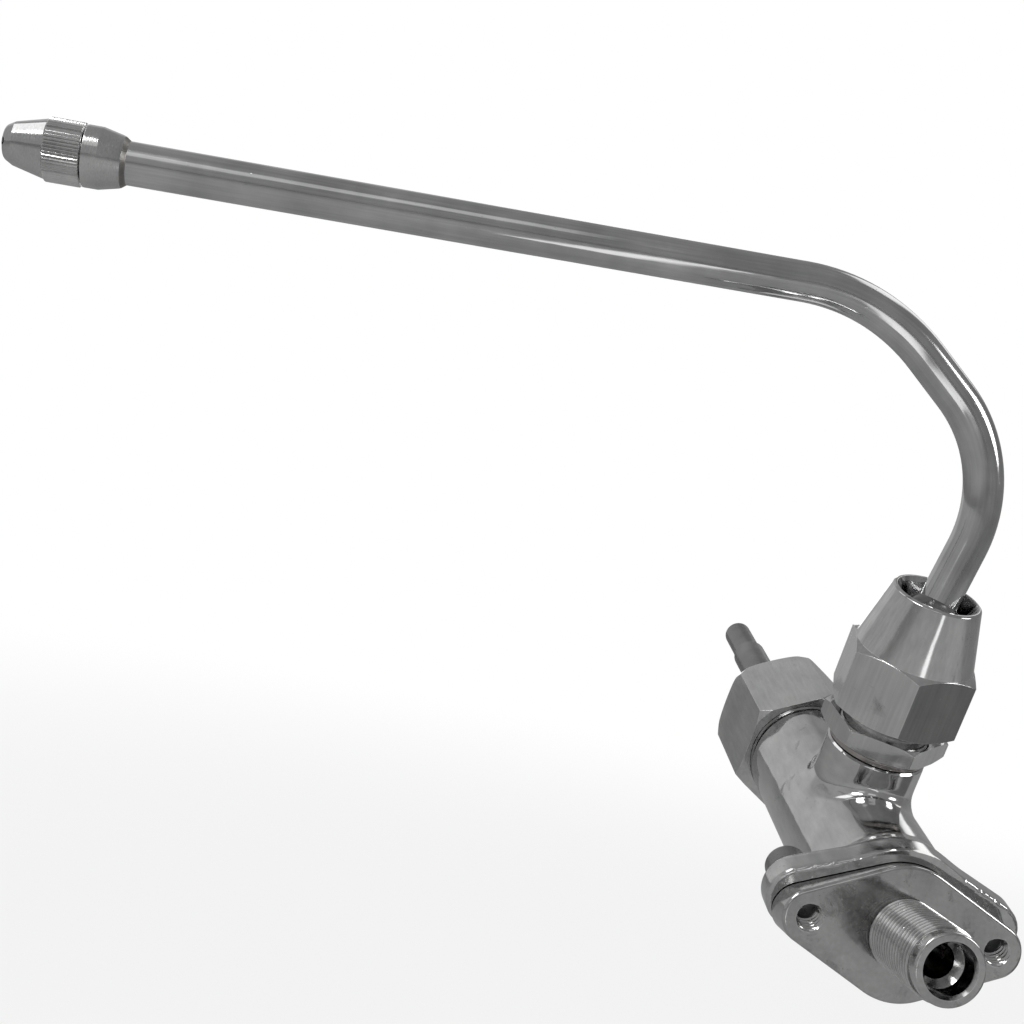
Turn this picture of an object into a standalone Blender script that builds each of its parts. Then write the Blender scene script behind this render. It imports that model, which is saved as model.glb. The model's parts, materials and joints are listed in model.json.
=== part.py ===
"""Steam tap with a ball-jointed steam wand, for an espresso machine.

Frame: metres, +Z up. The origin is the centre of the connector flange's outer face, on the
inlet nipple's axis. +Y runs out along the nipple, into the machine; the spindle points to -Y.
Lengths below are in millimetres and are turned into metres by MM where a mesh is made.
"""
import math

import bmesh
import bpy
from mathutils import Matrix, Vector

MM = 0.001
WELD = 1e-6            # metres: points closer than this are one point
GAP = 0.3              # clearance left between touching pieces

# ---- how the three axes lie -------------------------------------------------------------
BARREL_TILT = 17.5     # degrees the spindle end rises above the nipple's axis
JOINT_AT = 7.0         # where the wedge-shaped connector flange ends, along the barrel axis
WEDGE_DEPTH = 13.0     # depth of the connector flange before its rear is cut to the wedge
BRANCH_LEAN = 22.5     # degrees the outlet branch leans from vertical, towards the nipple
BRANCH_AT = 47.0       # distance along the barrel axis to the branch axis

# ---- flanges and their two screws -------------------------------------------------------
SCREW_HALF_SPACING = 22.3
FRONT_FLANGE = dict(hub=15.5, ear=6.2, near=-WEDGE_DEPTH, far=0.0)
REAR_FLANGE = dict(hub=16.6, ear=8.0, near=-14.6, far=-7.3)
SCREW_R = 2.9          # M6 thread
SCREW_HOLE_R = 3.25
SCREW_TIP_Y = -4.2     # the M6x12 screws stop short of the outer face
SCREW_HEAD_R = 5.0
SCREW_HEAD = 6.0
SCREW_SOCKET_AF = 5.0
SCREW_SOCKET_DEPTH = 3.2
LOCK_WASHER = dict(inner=3.3, outer=5.3, thick=1.3)

# ---- inlet nipple: G3/8 thread ----------------------------------------------------------
THREAD_R = 8.33
PILOT_R = 7.9
NIPPLE = 23.5
PILOT = 3.4
MOUTH_R = 5.5
INLET_BORE_R = 4.0
GASKET = dict(inner=7.6, outer=12.0, thick=1.1)

# ---- body barrel and bonnet, along the barrel axis --------------------------------------
BARREL_R = 16.0
BARREL_END = 81.6      # shoulder under the bonnet nut
SPIGOT_R = 14.6        # threaded end of the barrel, inside the nut
SPIGOT_END = 94.0
PASSAGE_R = 4.6
SEAT_FLOOR = 30.0
SEAT_POCKET_R = 8.3
CHAMBER_FLOOR = 36.0
CHAMBER_R = 11.0
NUT_AF = 35.0
NUT_START = 82.5
NUT_END = 113.0
NUT_VERTEX_ANGLE = 33.0
SLEEVE_END = 97.5
PACKING = dict(count=3, start=81.8, pitch=3.3, height=3.0, outer=8.3)
SPINDLE_R = 5.0
SPINDLE_THREAD_R = 7.0
SHOULDER_AT = 155.0
KNOB_R = 4.2
KNOB_FLAT = 3.3        # distance of the knob's flat from the axis
SPINDLE_END = 173.0

# ---- outlet branch, along the branch axis -----------------------------------------------
BOSS_R = 12.3
BOSS_END = 24.3
BOSS_BORE_R = 8.6
OUTLET_R = 4.5
UNION_AF = 27.0
UNION_HEX = (27.0, 32.2)
UNION_VERTEX_ANGLE = 39.0
UNION_END = 48.0
CONE_NUT_AF = 29.0
CONE_NUT = dict(start=34.5, cone=51.5, end=67.0, cone_r=14.3, rim_r=10.7, rim_bore=9.75)
CONE_NUT_VERTEX_ANGLE = 17.0
THROAT_R = 7.9
THROAT_AT = 63.0
BALL_AT = 58.0
BALL_R = 8.5

# ---- wand, in the plane of its bends ----------------------------------------------------
WAND_TILT = 15.0       # degrees the first straight leans in the wand's own plane
WAND_LEAN = 3.5        # degrees that plane leans towards the nipple side
TUBE_R = 4.75
TUBE_BORE_R = 3.6
TUBE_START = 2.2       # where the tube begins inside the ball
FIRST_RUN = 21.5
FIRST_BEND = (33.0, 67.0)     # radius, degrees
SECOND_RUN = 12.0
SECOND_BEND = (48.0, 41.9)
LONG_RUN = 159.2

# ---- nozzle, along the long run's axis, measured from the start of the ferrule ----------
TUBE_IN_FERRULE = 3.7         # how far the tube reaches into the ferrule
FERRULE_R = 6.75
TIP_R = 6.95
NOSE_R = 4.6
FERRULE_FACE = 8.1
FERRULE_THREAD_R = 4.1
FERRULE_END = 14.8
TIP_KNURL = (8.4, 16.2)
TIP_END = 26.0
JET_R = 0.65
JET_COUNT = 4
JET_LEAN = 30.0
JET_ROOT = 20.4               # where the jets meet inside the tip


# ---------------------------------------------------------------- scene and materials
def clear_scene():
    for obj in list(bpy.data.objects):
        bpy.data.objects.remove(obj, do_unlink=True)


def material(name, colour, roughness, metallic):
    mat = bpy.data.materials.new(name)
    mat.use_nodes = True
    shader = mat.node_tree.nodes["Principled BSDF"]
    shader.inputs["Base Color"].default_value = (*colour, 1.0)
    shader.inputs["Roughness"].default_value = roughness
    shader.inputs["Metallic"].default_value = metallic
    return mat


FINISHES = {
    "chrome": ((0.55, 0.55, 0.55), 0.16, 1.0),
    "stainless": ((0.50, 0.50, 0.50), 0.24, 1.0),
    "steel": ((0.38, 0.38, 0.38), 0.34, 1.0),
    "brass": ((0.62, 0.48, 0.22), 0.32, 1.0),
    "copper": ((0.60, 0.32, 0.20), 0.35, 1.0),
    "white_plastic": ((0.80, 0.80, 0.77), 0.45, 0.0),
    "seal_rubber": ((0.05, 0.05, 0.05), 0.60, 0.0),
}


def empty(name, parent=None, at=(0, 0, 0), turn=(0, 0, 0)):
    """An axis marker: its local Z is the axis that its children are built on."""
    obj = bpy.data.objects.new(name, None)
    bpy.context.scene.collection.objects.link(obj)
    obj.parent = parent
    obj.location = Vector(at) * MM
    obj.rotation_euler = [math.radians(a) for a in turn]
    return obj


def make_object(name, bm, parent=None, finish=None, cutter=False):
    mesh = bpy.data.meshes.new(name)
    bmesh.ops.recalc_face_normals(bm, faces=bm.faces)
    bm.to_mesh(mesh)
    bm.free()
    mesh.shade_smooth()
    mesh.set_sharp_from_angle(angle=math.radians(35))
    obj = bpy.data.objects.new(name, mesh)
    bpy.context.scene.collection.objects.link(obj)
    obj.parent = parent
    if finish:
        mesh.materials.append(material(name, *FINISHES[finish]))
    if cutter:
        obj.hide_render = True
        obj.display_type = "WIRE"
    return obj


def boolean(obj, other, operation):
    mod = obj.modifiers.new(other.name, "BOOLEAN")
    mod.operation = operation
    mod.solver = "EXACT"
    mod.object = other
    return obj


# ---------------------------------------------------------------- shapes
def extrude(bm, face, travel):
    """Pull a face along a vector in millimetres, leaving a closed solid."""
    moved = bmesh.ops.extrude_face_region(bm, geom=[face], use_keep_orig=True)["geom"]
    corners = [v for v in moved if isinstance(v, bmesh.types.BMVert)]
    bmesh.ops.translate(bm, verts=corners, vec=Vector(travel) * MM)
    bmesh.ops.recalc_face_normals(bm, faces=bm.faces)


def lay_along_y(bm):
    """Turn a shape built about Z so that its axis is +Y."""
    bmesh.ops.rotate(bm, verts=bm.verts, cent=(0, 0, 0),
                     matrix=Matrix.Rotation(math.radians(-90), 3, "X"))


def block(name, size, centre, turn_z=0.0, parent=None):
    """A box-shaped cutter."""
    bm = bmesh.new()
    bmesh.ops.create_cube(bm, size=MM)
    bmesh.ops.scale(bm, verts=bm.verts, vec=size)
    bmesh.ops.rotate(bm, verts=bm.verts, cent=(0, 0, 0),
                     matrix=Matrix.Rotation(math.radians(turn_z), 3, "Z"))
    bmesh.ops.translate(bm, verts=bm.verts, vec=Vector(centre) * MM)
    return make_object(name, bm, parent, cutter=True)


def turned(name, profile, parent=None, finish=None, cutter=False, sides=24, along_y=False):
    """Spin a closed outline of (radius, height) points about the local Z axis.

    An outline that touches the axis starts and ends there, and gives a solid piece."""
    bm = bmesh.new()
    points = [bm.verts.new((r * MM, 0, z * MM)) for r, z in profile]
    solid = profile[0][0] == 0 and profile[-1][0] == 0
    closed = zip(points, points[1:] if solid else points[1:] + points[:1])
    edges = [bm.edges.new(pair) for pair in closed]
    bmesh.ops.spin(bm, geom=points + edges, cent=(0, 0, 0), axis=(0, 0, 1),
                   angle=math.tau, steps=sides, use_merge=True)
    bmesh.ops.remove_doubles(bm, verts=bm.verts, dist=WELD)
    if along_y:
        lay_along_y(bm)
    return make_object(name, bm, parent, finish, cutter)


def prism(name, across_flats, low, high, angle=0.0, parent=None, along_y=False):
    """A hexagonal cutter between two heights, one of its corners at the given angle."""
    bm = bmesh.new()
    radius = across_flats / math.sqrt(3)
    corners = [math.radians(angle + 60 * i) for i in range(6)]
    ring = [bm.verts.new((radius * math.cos(a) * MM, radius * math.sin(a) * MM, low * MM)) for a in corners]
    extrude(bm, bm.faces.new(ring), (0, 0, high - low))
    if along_y:
        lay_along_y(bm)
    return make_object(name, bm, parent, cutter=True)


def hex_turned(name, profile, across_flats, angle, parent, finish, sides=36):
    """A turned piece whose widest part is milled to a hexagon."""
    obj = turned(name, profile, parent, finish, sides=sides)
    heights = [z for _, z in profile]
    mill = prism(name + "_mill", across_flats, min(heights) - 1, max(heights) + 1, angle, parent)
    return boolean(obj, mill, "INTERSECT")


def flange_outline(hub, ear, steps=6):
    """The rhombic outline of a two-bolt flange: three arcs and their common tangents."""
    tilt = math.asin((hub - ear) / SCREW_HALF_SPACING)
    points = []
    for side in (1, -1):
        centre = side * SCREW_HALF_SPACING
        reach = math.pi / 2 - tilt
        for i in range(steps):
            a = -reach + 2 * reach * i / (steps - 1)
            points.append((centre + side * ear * math.cos(a), side * ear * math.sin(a)))
        for i in range(steps):
            a = reach + 2 * tilt * i / (steps - 1)
            points.append((side * hub * math.cos(a), side * hub * math.sin(a)))
    return points


def flange_plate(name, hub, ear, near, far, round_near, round_far, **options):
    """The flange as a plate between two depths in Y, with its two rims rounded."""
    bm = bmesh.new()
    outline = [bm.verts.new((x * MM, near * MM, z * MM)) for x, z in flange_outline(hub, ear)]
    extrude(bm, bm.faces.new(outline), (0, far - near, 0))
    for depth, radius, segments in ((near, round_near, 2), (far, round_far, 1)):
        rim = [e for e in bm.edges if all(abs(v.co.y - depth * MM) < WELD for v in e.verts)]
        bmesh.ops.bevel(bm, geom=rim, offset=radius * MM, segments=segments, profile=0.5,
                        affect="EDGES", clamp_overlap=True)
    return make_object(name, bm, **options)


def meridian(radius, centre, start, end, steps):
    """Points of an arc about the axis, between two angles from the axis in degrees."""
    angles = [math.radians(start + (end - start) * i / steps) for i in range(steps + 1)]
    return [(radius * math.sin(a), centre + radius * math.cos(a)) for a in angles]


# ---------------------------------------------------------------- wand path
def wand_path():
    """Frames (point, heading) along the wand's centre line, in its own plane.

    The heading is in radians from the first straight; the bends all turn towards +X."""
    frames = [(Vector((0, 0, TUBE_START)), 0.0)]
    point, heading = Vector((0, 0, FIRST_RUN)), 0.0
    frames.append((point.copy(), heading))
    for (radius, degrees), run in ((FIRST_BEND, SECOND_RUN), (SECOND_BEND, LONG_RUN)):
        steps = round(degrees / 9)
        step = math.radians(degrees) / steps
        chord = 2 * radius * math.sin(step / 2)
        for _ in range(steps):
            mid = heading + step / 2
            point = point + chord * Vector((math.sin(mid), 0, math.cos(mid)))
            heading += step
            frames.append((point.copy(), heading))
        point = point + run * Vector((math.sin(heading), 0, math.cos(heading)))
        frames.append((point.copy(), heading))
    return frames


def build_tube(parent):
    sides = 16
    bm = bmesh.new()
    rings = {}
    frames = wand_path()
    for which, radius in (("outer", TUBE_R), ("inner", TUBE_BORE_R)):
        rings[which] = []
        for point, heading in frames:
            across = Vector((math.cos(heading), 0, -math.sin(heading)))
            ring = []
            for i in range(sides):
                a = math.tau * i / sides
                offset = radius * (math.cos(a) * across + math.sin(a) * Vector((0, 1, 0)))
                ring.append(bm.verts.new((point + offset) * MM))
            rings[which].append(ring)
    for loops in rings.values():
        for low, high in zip(loops, loops[1:]):
            for i in range(sides):
                j = (i + 1) % sides
                bm.faces.new((low[i], low[j], high[j], high[i]))
    for end in (0, -1):
        for i in range(sides):
            j = (i + 1) % sides
            outer, inner = rings["outer"][end], rings["inner"][end]
            bm.faces.new((outer[i], outer[j], inner[j], inner[i]))
    return make_object("wand_tube", bm, parent, "stainless")


# ---------------------------------------------------------------- inlet side
def build_connector_flange(joint_axis, barrel_axis):
    """The front flange: a wedge, its face square to the nipple and its rear square to the barrel."""
    plate = flange_plate("connector_flange", round_near=0.4, round_far=0.8, finish="chrome",
                         **FRONT_FLANGE)
    wedge = block("wedge_cut", (80, 40, 80), (0, -JOINT_AT - 20, 0), parent=joint_axis)
    boolean(plate, wedge, "DIFFERENCE")
    thread_end = NIPPLE - PILOT
    nipple = turned("nipple", [
        (0, -3), (THREAD_R, -3), (THREAD_R, thread_end), (PILOT_R - 0.5, thread_end + 0.5),
        (PILOT_R, thread_end + 1.0), (PILOT_R, NIPPLE - 0.6), (PILOT_R - 0.6, NIPPLE),
        (0, NIPPLE)], cutter=True, sides=30, along_y=True)
    boolean(plate, nipple, "UNION")
    bore = turned("inlet_bore", [
        (0, -9), (INLET_BORE_R, -9), (INLET_BORE_R, NIPPLE - 7.0), (MOUTH_R - 0.4, NIPPLE - 5.4),
        (MOUTH_R - 0.4, NIPPLE - 1.2), (MOUTH_R + 0.5, NIPPLE + 0.1), (0, NIPPLE + 0.1)],
        cutter=True, sides=24, along_y=True)
    boolean(plate, bore, "DIFFERENCE")
    passage = turned("inlet_passage", [(0, -1), (INLET_BORE_R, -1), (PASSAGE_R, 9), (0, 9)], barrel_axis,
                     cutter=True)
    boolean(plate, passage, "DIFFERENCE")
    recess_floor = -JOINT_AT + GASKET["thick"] + GAP
    recess = turned("gasket_recess", [
        (GASKET["inner"] - GAP, -9), (GASKET["outer"] + GAP, -9),
        (GASKET["outer"] + GAP, recess_floor), (GASKET["inner"] - GAP, recess_floor)],
        joint_axis, cutter=True, sides=24, along_y=True)
    boolean(plate, recess, "DIFFERENCE")
    for side in (1, -1):
        hole = turned("tapped_hole", [(0, -9), (SCREW_HOLE_R, -9), (SCREW_HOLE_R, 2), (0, 2)],
                      joint_axis, cutter=True, sides=24, along_y=True)
        hole.location.x = side * SCREW_HALF_SPACING * MM
        boolean(plate, hole, "DIFFERENCE")


def build_flange_gasket(joint_axis):
    low = -JOINT_AT
    high = low + GASKET["thick"]
    turned("flange_gasket", [(GASKET["inner"], low), (GASKET["outer"], low), (GASKET["outer"], high),
                             (GASKET["inner"], high)], joint_axis, "seal_rubber", along_y=True)


def socket_screw(name, x, joint_axis):
    """A hex-socket cap screw: head on the rear flange, tip inside the front one."""
    seat = REAR_FLANGE["near"] - LOCK_WASHER["thick"] - GAP
    top = seat - SCREW_HEAD
    screw = turned(name, [
        (0, SCREW_TIP_Y), (SCREW_R - 0.7, SCREW_TIP_Y), (SCREW_R, SCREW_TIP_Y - 0.7), (SCREW_R, seat),
        (SCREW_HEAD_R, seat), (SCREW_HEAD_R, top + 0.5), (SCREW_HEAD_R - 0.5, top), (0, top)],
        joint_axis, "steel", sides=20, along_y=True)
    socket = prism(name + "_socket", SCREW_SOCKET_AF, top - 1, top + SCREW_SOCKET_DEPTH,
                   parent=joint_axis, along_y=True)
    boolean(screw, socket, "DIFFERENCE")
    screw.location.x = x * MM
    socket.location.x = x * MM


def lock_washer(name, x, joint_axis):
    """A split spring washer."""
    low = REAR_FLANGE["near"] - LOCK_WASHER["thick"] - GAP / 2
    washer = turned(name, [
        (LOCK_WASHER["inner"], low), (LOCK_WASHER["outer"], low),
        (LOCK_WASHER["outer"], low + LOCK_WASHER["thick"]), (LOCK_WASHER["inner"], low + LOCK_WASHER["thick"])],
        joint_axis, "steel", sides=20, along_y=True)
    middle = (LOCK_WASHER["inner"] + LOCK_WASHER["outer"]) / 2
    slit = block(name + "_slit", (0.8, 6, 6), (0, low + LOCK_WASHER["thick"] / 2, middle), turn_z=25,
                 parent=joint_axis)
    boolean(washer, slit, "DIFFERENCE")
    washer.location.x = x * MM
    slit.location.x = x * MM


# ---------------------------------------------------------------- body
def build_valve_body(joint_axis, barrel_axis, branch_axis):
    body = flange_plate("valve_body", round_near=2.2, round_far=0.7, parent=joint_axis, finish="chrome",
                        **REAR_FLANGE)
    barrel = turned("barrel", [
        (0, 4), (BARREL_R + 0.2, 4), (BARREL_R, 30), (BARREL_R - 0.2, BARREL_END - 0.6),
        (BARREL_R - 0.8, BARREL_END), (SPIGOT_R, BARREL_END), (SPIGOT_R, SPIGOT_END - 0.8),
        (SPIGOT_R - 0.8, SPIGOT_END), (0, SPIGOT_END)], barrel_axis, cutter=True, sides=36)
    boss = turned("boss", [(0, 0), (BOSS_R + 0.6, 0), (BOSS_R, 17), (BOSS_R, BOSS_END - 0.6),
                           (BOSS_R - 0.6, BOSS_END), (0, BOSS_END)], branch_axis, cutter=True, sides=28)
    boolean(body, barrel, "UNION")
    boolean(body, boss, "UNION")
    joint_face = block("joint_face", (80, 40, 80), (0, REAR_FLANGE["far"] + 20, 0), parent=joint_axis)
    boolean(body, joint_face, "DIFFERENCE")
    chamber = turned("chamber", [
        (0, -4), (PASSAGE_R, -4), (PASSAGE_R, SEAT_FLOOR), (SEAT_POCKET_R, SEAT_FLOOR),
        (SEAT_POCKET_R, CHAMBER_FLOOR), (CHAMBER_R, CHAMBER_FLOOR), (CHAMBER_R, SPIGOT_END + 1),
        (0, SPIGOT_END + 1)], barrel_axis, cutter=True)
    boolean(body, chamber, "DIFFERENCE")
    outlet = turned("outlet", [
        (0, 0), (OUTLET_R, 0), (OUTLET_R, 13), (BOSS_BORE_R, 13), (BOSS_BORE_R, BOSS_END + 1),
        (0, BOSS_END + 1)], branch_axis, cutter=True)
    boolean(body, outlet, "DIFFERENCE")
    for side in (1, -1):
        hole = turned("clearance_hole", [(0, -16), (SCREW_HOLE_R, -16), (SCREW_HOLE_R, -6), (0, -6)],
                      joint_axis, cutter=True, sides=24, along_y=True)
        hole.location.x = side * SCREW_HALF_SPACING * MM
        boolean(body, hole, "DIFFERENCE")


def build_bonnet(axis):
    """Everything on the barrel axis that stays put when the spindle turns."""
    turned("valve_seat", [
        (INLET_BORE_R, SEAT_FLOOR + GAP), (SEAT_POCKET_R - GAP, SEAT_FLOOR + GAP),
        (SEAT_POCKET_R - GAP, 35.8), (5.4, 36.0), (4.8, 37.0), (INLET_BORE_R, 37.0)],
        axis, "brass")
    outer = CHAMBER_R - GAP
    turned("bonnet_sleeve", [
        (SPINDLE_THREAD_R + GAP, 60), (outer, 60), (outer, 94.2), (11.1, 95.9), (SPIGOT_R - 0.4, 95.9),
        (SPIGOT_R - 0.4, SLEEVE_END), (8.6, SLEEVE_END), (8.6, 80), (SPINDLE_R + GAP, 80),
        (SPINDLE_R + GAP, 79), (SPINDLE_THREAD_R + GAP, 79)], axis, "brass")
    turned("bonnet_gasket", [
        (11.4, SPIGOT_END + GAP), (SPIGOT_R - 0.4, SPIGOT_END + GAP), (SPIGOT_R - 0.4, 95.6),
        (11.4, 95.6)], axis, "copper")
    turned("packing_washer", [
        (SPINDLE_R + GAP, 80.3), (PACKING["outer"], 80.3), (PACKING["outer"], 81.5),
        (SPINDLE_R + GAP, 81.5)], axis, "steel")
    for i in range(PACKING["count"]):
        low = PACKING["start"] + i * PACKING["pitch"]
        high = low + PACKING["height"]
        turned(f"packing_ring_{i + 1}", [
            (SPINDLE_R + GAP, low), (PACKING["outer"], low), (PACKING["outer"], high),
            (SPINDLE_R + GAP, high)], axis, "white_plastic", sides=20)
    turned("gland_bush", [
        (SPINDLE_R + GAP, 91.7), (PACKING["outer"], 91.7), (PACKING["outer"], SLEEVE_END + GAP),
        (10.5, SLEEVE_END + GAP), (10.5, 100.5), (SPINDLE_R + GAP, 100.5)], axis, "brass")
    wall = 103.0
    hex_turned("bonnet_nut", [
        (SPIGOT_R + GAP, NUT_START), (18.6, NUT_START), (NUT_AF / math.sqrt(3), NUT_START + 1.3),
        (NUT_AF / math.sqrt(3), NUT_END - 3.6), (18.4, NUT_END - 1.4), (16.4, NUT_END),
        (SPINDLE_R + 0.9, NUT_END), (SPINDLE_R + 0.4, NUT_END - 0.6), (SPINDLE_R + 0.4, wall),
        (11.5, wall), (SPIGOT_R + GAP, wall - 2.5)], NUT_AF, NUT_VERTEX_ANGLE, axis, "chrome")
    turned("gland_spring", [
        (6.2, 100.8), (9.8, 100.8), (9.8, 102.6), (6.2, 102.6)], axis, "steel", sides=20)


def build_spindle(axis):
    """The turning spindle, and the carrier that it lifts off the seat."""
    turned("seal_carrier", [
        (1.9, 40.9), (6.8, 40.9), (6.8, 38.4), (8.0, 38.4), (8.0, 46.5), (6.6, 48.2), (6.6, 55.0),
        (5.1, 55.0), (5.1, 47.2), (1.9, 47.2)], axis, "brass")
    turned("seal_disc", [(1.9, 37.3), (6.5, 37.3), (6.5, 40.6), (1.9, 40.6)], axis, "seal_rubber", sides=20)
    turned("seal_screw", [
        (0, 34.8), (2.6, 34.8), (3.3, 35.4), (3.3, 37.0), (1.6, 37.0), (1.6, 46.4), (0, 46.4)],
        axis, "steel", sides=20)
    turned("carrier_clip", [(3.3, 51.3), (4.8, 51.3), (4.8, 52.3), (3.3, 52.3)], axis, "steel", sides=20)
    spindle = turned("spindle", [
        (0, 47.5), (4.6, 47.5), (4.6, 51.0), (2.9, 51.0), (2.9, 55.0), (SPINDLE_THREAD_R - 1, 56.0),
        (SPINDLE_THREAD_R, 57.0), (SPINDLE_THREAD_R, 73.0), (SPINDLE_R, 74.5),
        (SPINDLE_R, SHOULDER_AT - 0.5), (SPINDLE_R - 0.5, SHOULDER_AT), (KNOB_R, SHOULDER_AT),
        (KNOB_R, SPINDLE_END - 1.2), (KNOB_R - 0.4, SPINDLE_END - 0.35), (KNOB_R - 1.2, SPINDLE_END),
        (0, SPINDLE_END)], axis, "steel")
    flat = block("knob_flat", (12, 4, 16), (0, -KNOB_FLAT - 2, SPINDLE_END - 4), parent=axis)
    boolean(spindle, flat, "DIFFERENCE")


# ---------------------------------------------------------------- outlet side
def build_outlet(axis):
    """The union, the cone nut and the ball's seats, on the branch axis."""
    turned("union_washer", [
        (BOSS_BORE_R, BOSS_END + GAP), (12.1, BOSS_END + GAP), (12.1, 26.3), (BOSS_BORE_R, 26.3)],
        axis, "copper")
    low, high = UNION_HEX
    corner = UNION_AF / math.sqrt(3)
    hex_turned("outlet_union", [
        (OUTLET_R, 14.0), (BOSS_BORE_R - GAP, 14.0), (BOSS_BORE_R - GAP, 26.6), (12.6, 26.6),
        (12.6, low), (13.6, low), (corner, low + 1.0), (corner, high - 0.7), (corner - 1.2, high),
        (10.6, high), (10.6, 34.2), (11.1, 34.8), (11.1, UNION_END - 0.8), (10.3, UNION_END),
        (OUTLET_R, UNION_END)], UNION_AF, UNION_VERTEX_ANGLE, axis, "chrome", sides=30)
    n = CONE_NUT
    corner = CONE_NUT_AF / math.sqrt(3)
    hex_turned("cone_nut", [
        (11.4, n["start"]), (14.2, n["start"]), (corner, n["start"] + 1.3), (corner, n["cone"] - 1.1),
        (n["cone_r"], n["cone"]), (n["rim_r"], n["end"] - 0.5), (n["rim_r"] - 0.4, n["end"]),
        (n["rim_bore"], n["end"]), (THROAT_R, THROAT_AT), (THROAT_R, THROAT_AT - 0.5),
        (10.9, 59.5), (11.4, 58.7)], CONE_NUT_AF, CONE_NUT_VERTEX_ANGLE, axis, "chrome")
    turned("seat_spring", [
        (6.4, UNION_END + GAP), (10.8, UNION_END + GAP), (10.8, 49.9), (6.4, 49.9)],
        axis, "steel")
    # each seat is hollowed to the ball's sphere between two angles from the axis
    cup = meridian(BALL_R + GAP, BALL_AT, 98, 147, 5)
    turned("lower_ball_seat", [(cup[-1][0], 50.2), (11.0, 50.2), (11.0, cup[0][1])] + cup,
           axis, "white_plastic")
    collar = meridian(BALL_R + GAP, BALL_AT, 66, 95, 4)
    turned("upper_ball_seat", [(10.5, collar[-1][1]), (10.5, 59.3), (8.5, collar[0][1])] + collar,
           axis, "white_plastic")


def build_ball(axis):
    socket_r = TUBE_R + GAP
    mouth = math.degrees(math.asin(socket_r / BALL_R))
    port = math.degrees(math.asin((TUBE_BORE_R + 0.4) / BALL_R))
    outside = meridian(BALL_R, 0, mouth, 180 - port, 9)
    socket_floor = TUBE_START - GAP
    turned("wand_ball", outside + [(TUBE_BORE_R, outside[-1][1] + 0.4), (TUBE_BORE_R, socket_floor),
                                   (socket_r, socket_floor)], axis, "chrome", sides=28)


def build_nozzle(axis):
    """Ferrule brazed to the tube, seal, and hand-tightened tip, on the long run's axis."""
    cone = 4.8
    root_r = TUBE_R + GAP
    turned("nozzle_ferrule", [
        (root_r, 0), (root_r + 0.5, 0), (root_r + 0.9, 0.4), (FERRULE_R - 0.1, cone - 0.3),
        (FERRULE_R, cone), (FERRULE_R, FERRULE_FACE - 0.2), (FERRULE_R - 0.2, FERRULE_FACE),
        (FERRULE_THREAD_R, FERRULE_FACE), (FERRULE_THREAD_R, FERRULE_END - 0.4),
        (FERRULE_THREAD_R - 0.4, FERRULE_END), (2.4, FERRULE_END), (2.4, TUBE_IN_FERRULE + GAP),
        (root_r, TUBE_IN_FERRULE + GAP)], axis, "chrome", sides=28)
    turned("tip_gasket", [(2.6, 15.1), (4.0, 15.1), (4.0, 16.3), (2.6, 16.3)], axis, "white_plastic", sides=24)
    start = FERRULE_FACE + GAP
    cavity_r = FERRULE_THREAD_R + GAP
    low, high = TIP_KNURL
    tip = turned("nozzle_tip", [
        (0, TIP_END - 3.0), (2.6, TIP_END - 3.6), (2.6, 16.6), (cavity_r, 16.6), (cavity_r, start),
        (TIP_R - 0.6, start), (TIP_R - 0.6, low), (TIP_R, low + 0.3), (TIP_R, high - 0.3),
        (TIP_R - 0.4, high), (NOSE_R + 0.1, TIP_END - 2.9), (NOSE_R - 0.4, TIP_END - 1.9),
        (2.5, TIP_END - 0.5), (0, TIP_END)], axis, "chrome", sides=28)
    for i in range(JET_COUNT):
        jet = turned(f"jet_{i + 1}", [(0, 0.8), (JET_R, 0.8), (JET_R, 8), (0, 8)], axis, cutter=True, sides=10)
        jet.location.z = JET_ROOT * MM
        jet.rotation_euler = (0, math.radians(JET_LEAN), math.radians(45 + 360 * i / JET_COUNT))
        boolean(tip, jet, "DIFFERENCE")


def main():
    clear_scene()
    joint_axis = empty("joint_axis", turn=(-BARREL_TILT, 0, 0))
    barrel_axis = empty("barrel_axis", turn=(90 - BARREL_TILT, 0, 0))
    branch_axis = empty("branch_axis", barrel_axis, at=(0, 0, BRANCH_AT),
                        turn=(BARREL_TILT - 90 - BRANCH_LEAN, 0, 0))
    wand_plane = empty("wand_plane", branch_axis, at=(0, 0, BALL_AT), turn=(BRANCH_LEAN - WAND_LEAN, 0, 0))
    wand_axis = empty("wand_axis", wand_plane, turn=(0, -WAND_TILT, 0))
    end, heading = wand_path()[-1]
    back = Vector((math.sin(heading), 0, math.cos(heading))) * TUBE_IN_FERRULE
    nozzle_axis = empty("nozzle_axis", wand_axis, at=end - back, turn=(0, math.degrees(heading), 0))
    build_connector_flange(joint_axis, barrel_axis)
    build_flange_gasket(joint_axis)
    build_valve_body(joint_axis, barrel_axis, branch_axis)
    for i, x in enumerate((SCREW_HALF_SPACING, -SCREW_HALF_SPACING)):
        socket_screw(f"flange_screw_{i + 1}", x, joint_axis)
        lock_washer(f"lock_washer_{i + 1}", x, joint_axis)
    build_bonnet(barrel_axis)
    build_spindle(barrel_axis)
    build_outlet(branch_axis)
    build_ball(wand_axis)
    build_tube(wand_axis)
    build_nozzle(nozzle_axis)


main()
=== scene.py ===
# %% [markdown]
# # Steam tap with a ball-jointed wand
# This is the visual model of an espresso machine's steam tap. The measured CAD frame is loaded first and stays
# where it is. Each visible metal piece is then modelled again with rounded edges, real threads and knurling, and
# every piece gets a procedural finish. Lengths in the modelling cells are millimetres; `MM` makes metres of them.

# %% Load the frame
import json
import math

import bmesh
import bpy
import numpy as np
from mathutils import Matrix, Vector


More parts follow.
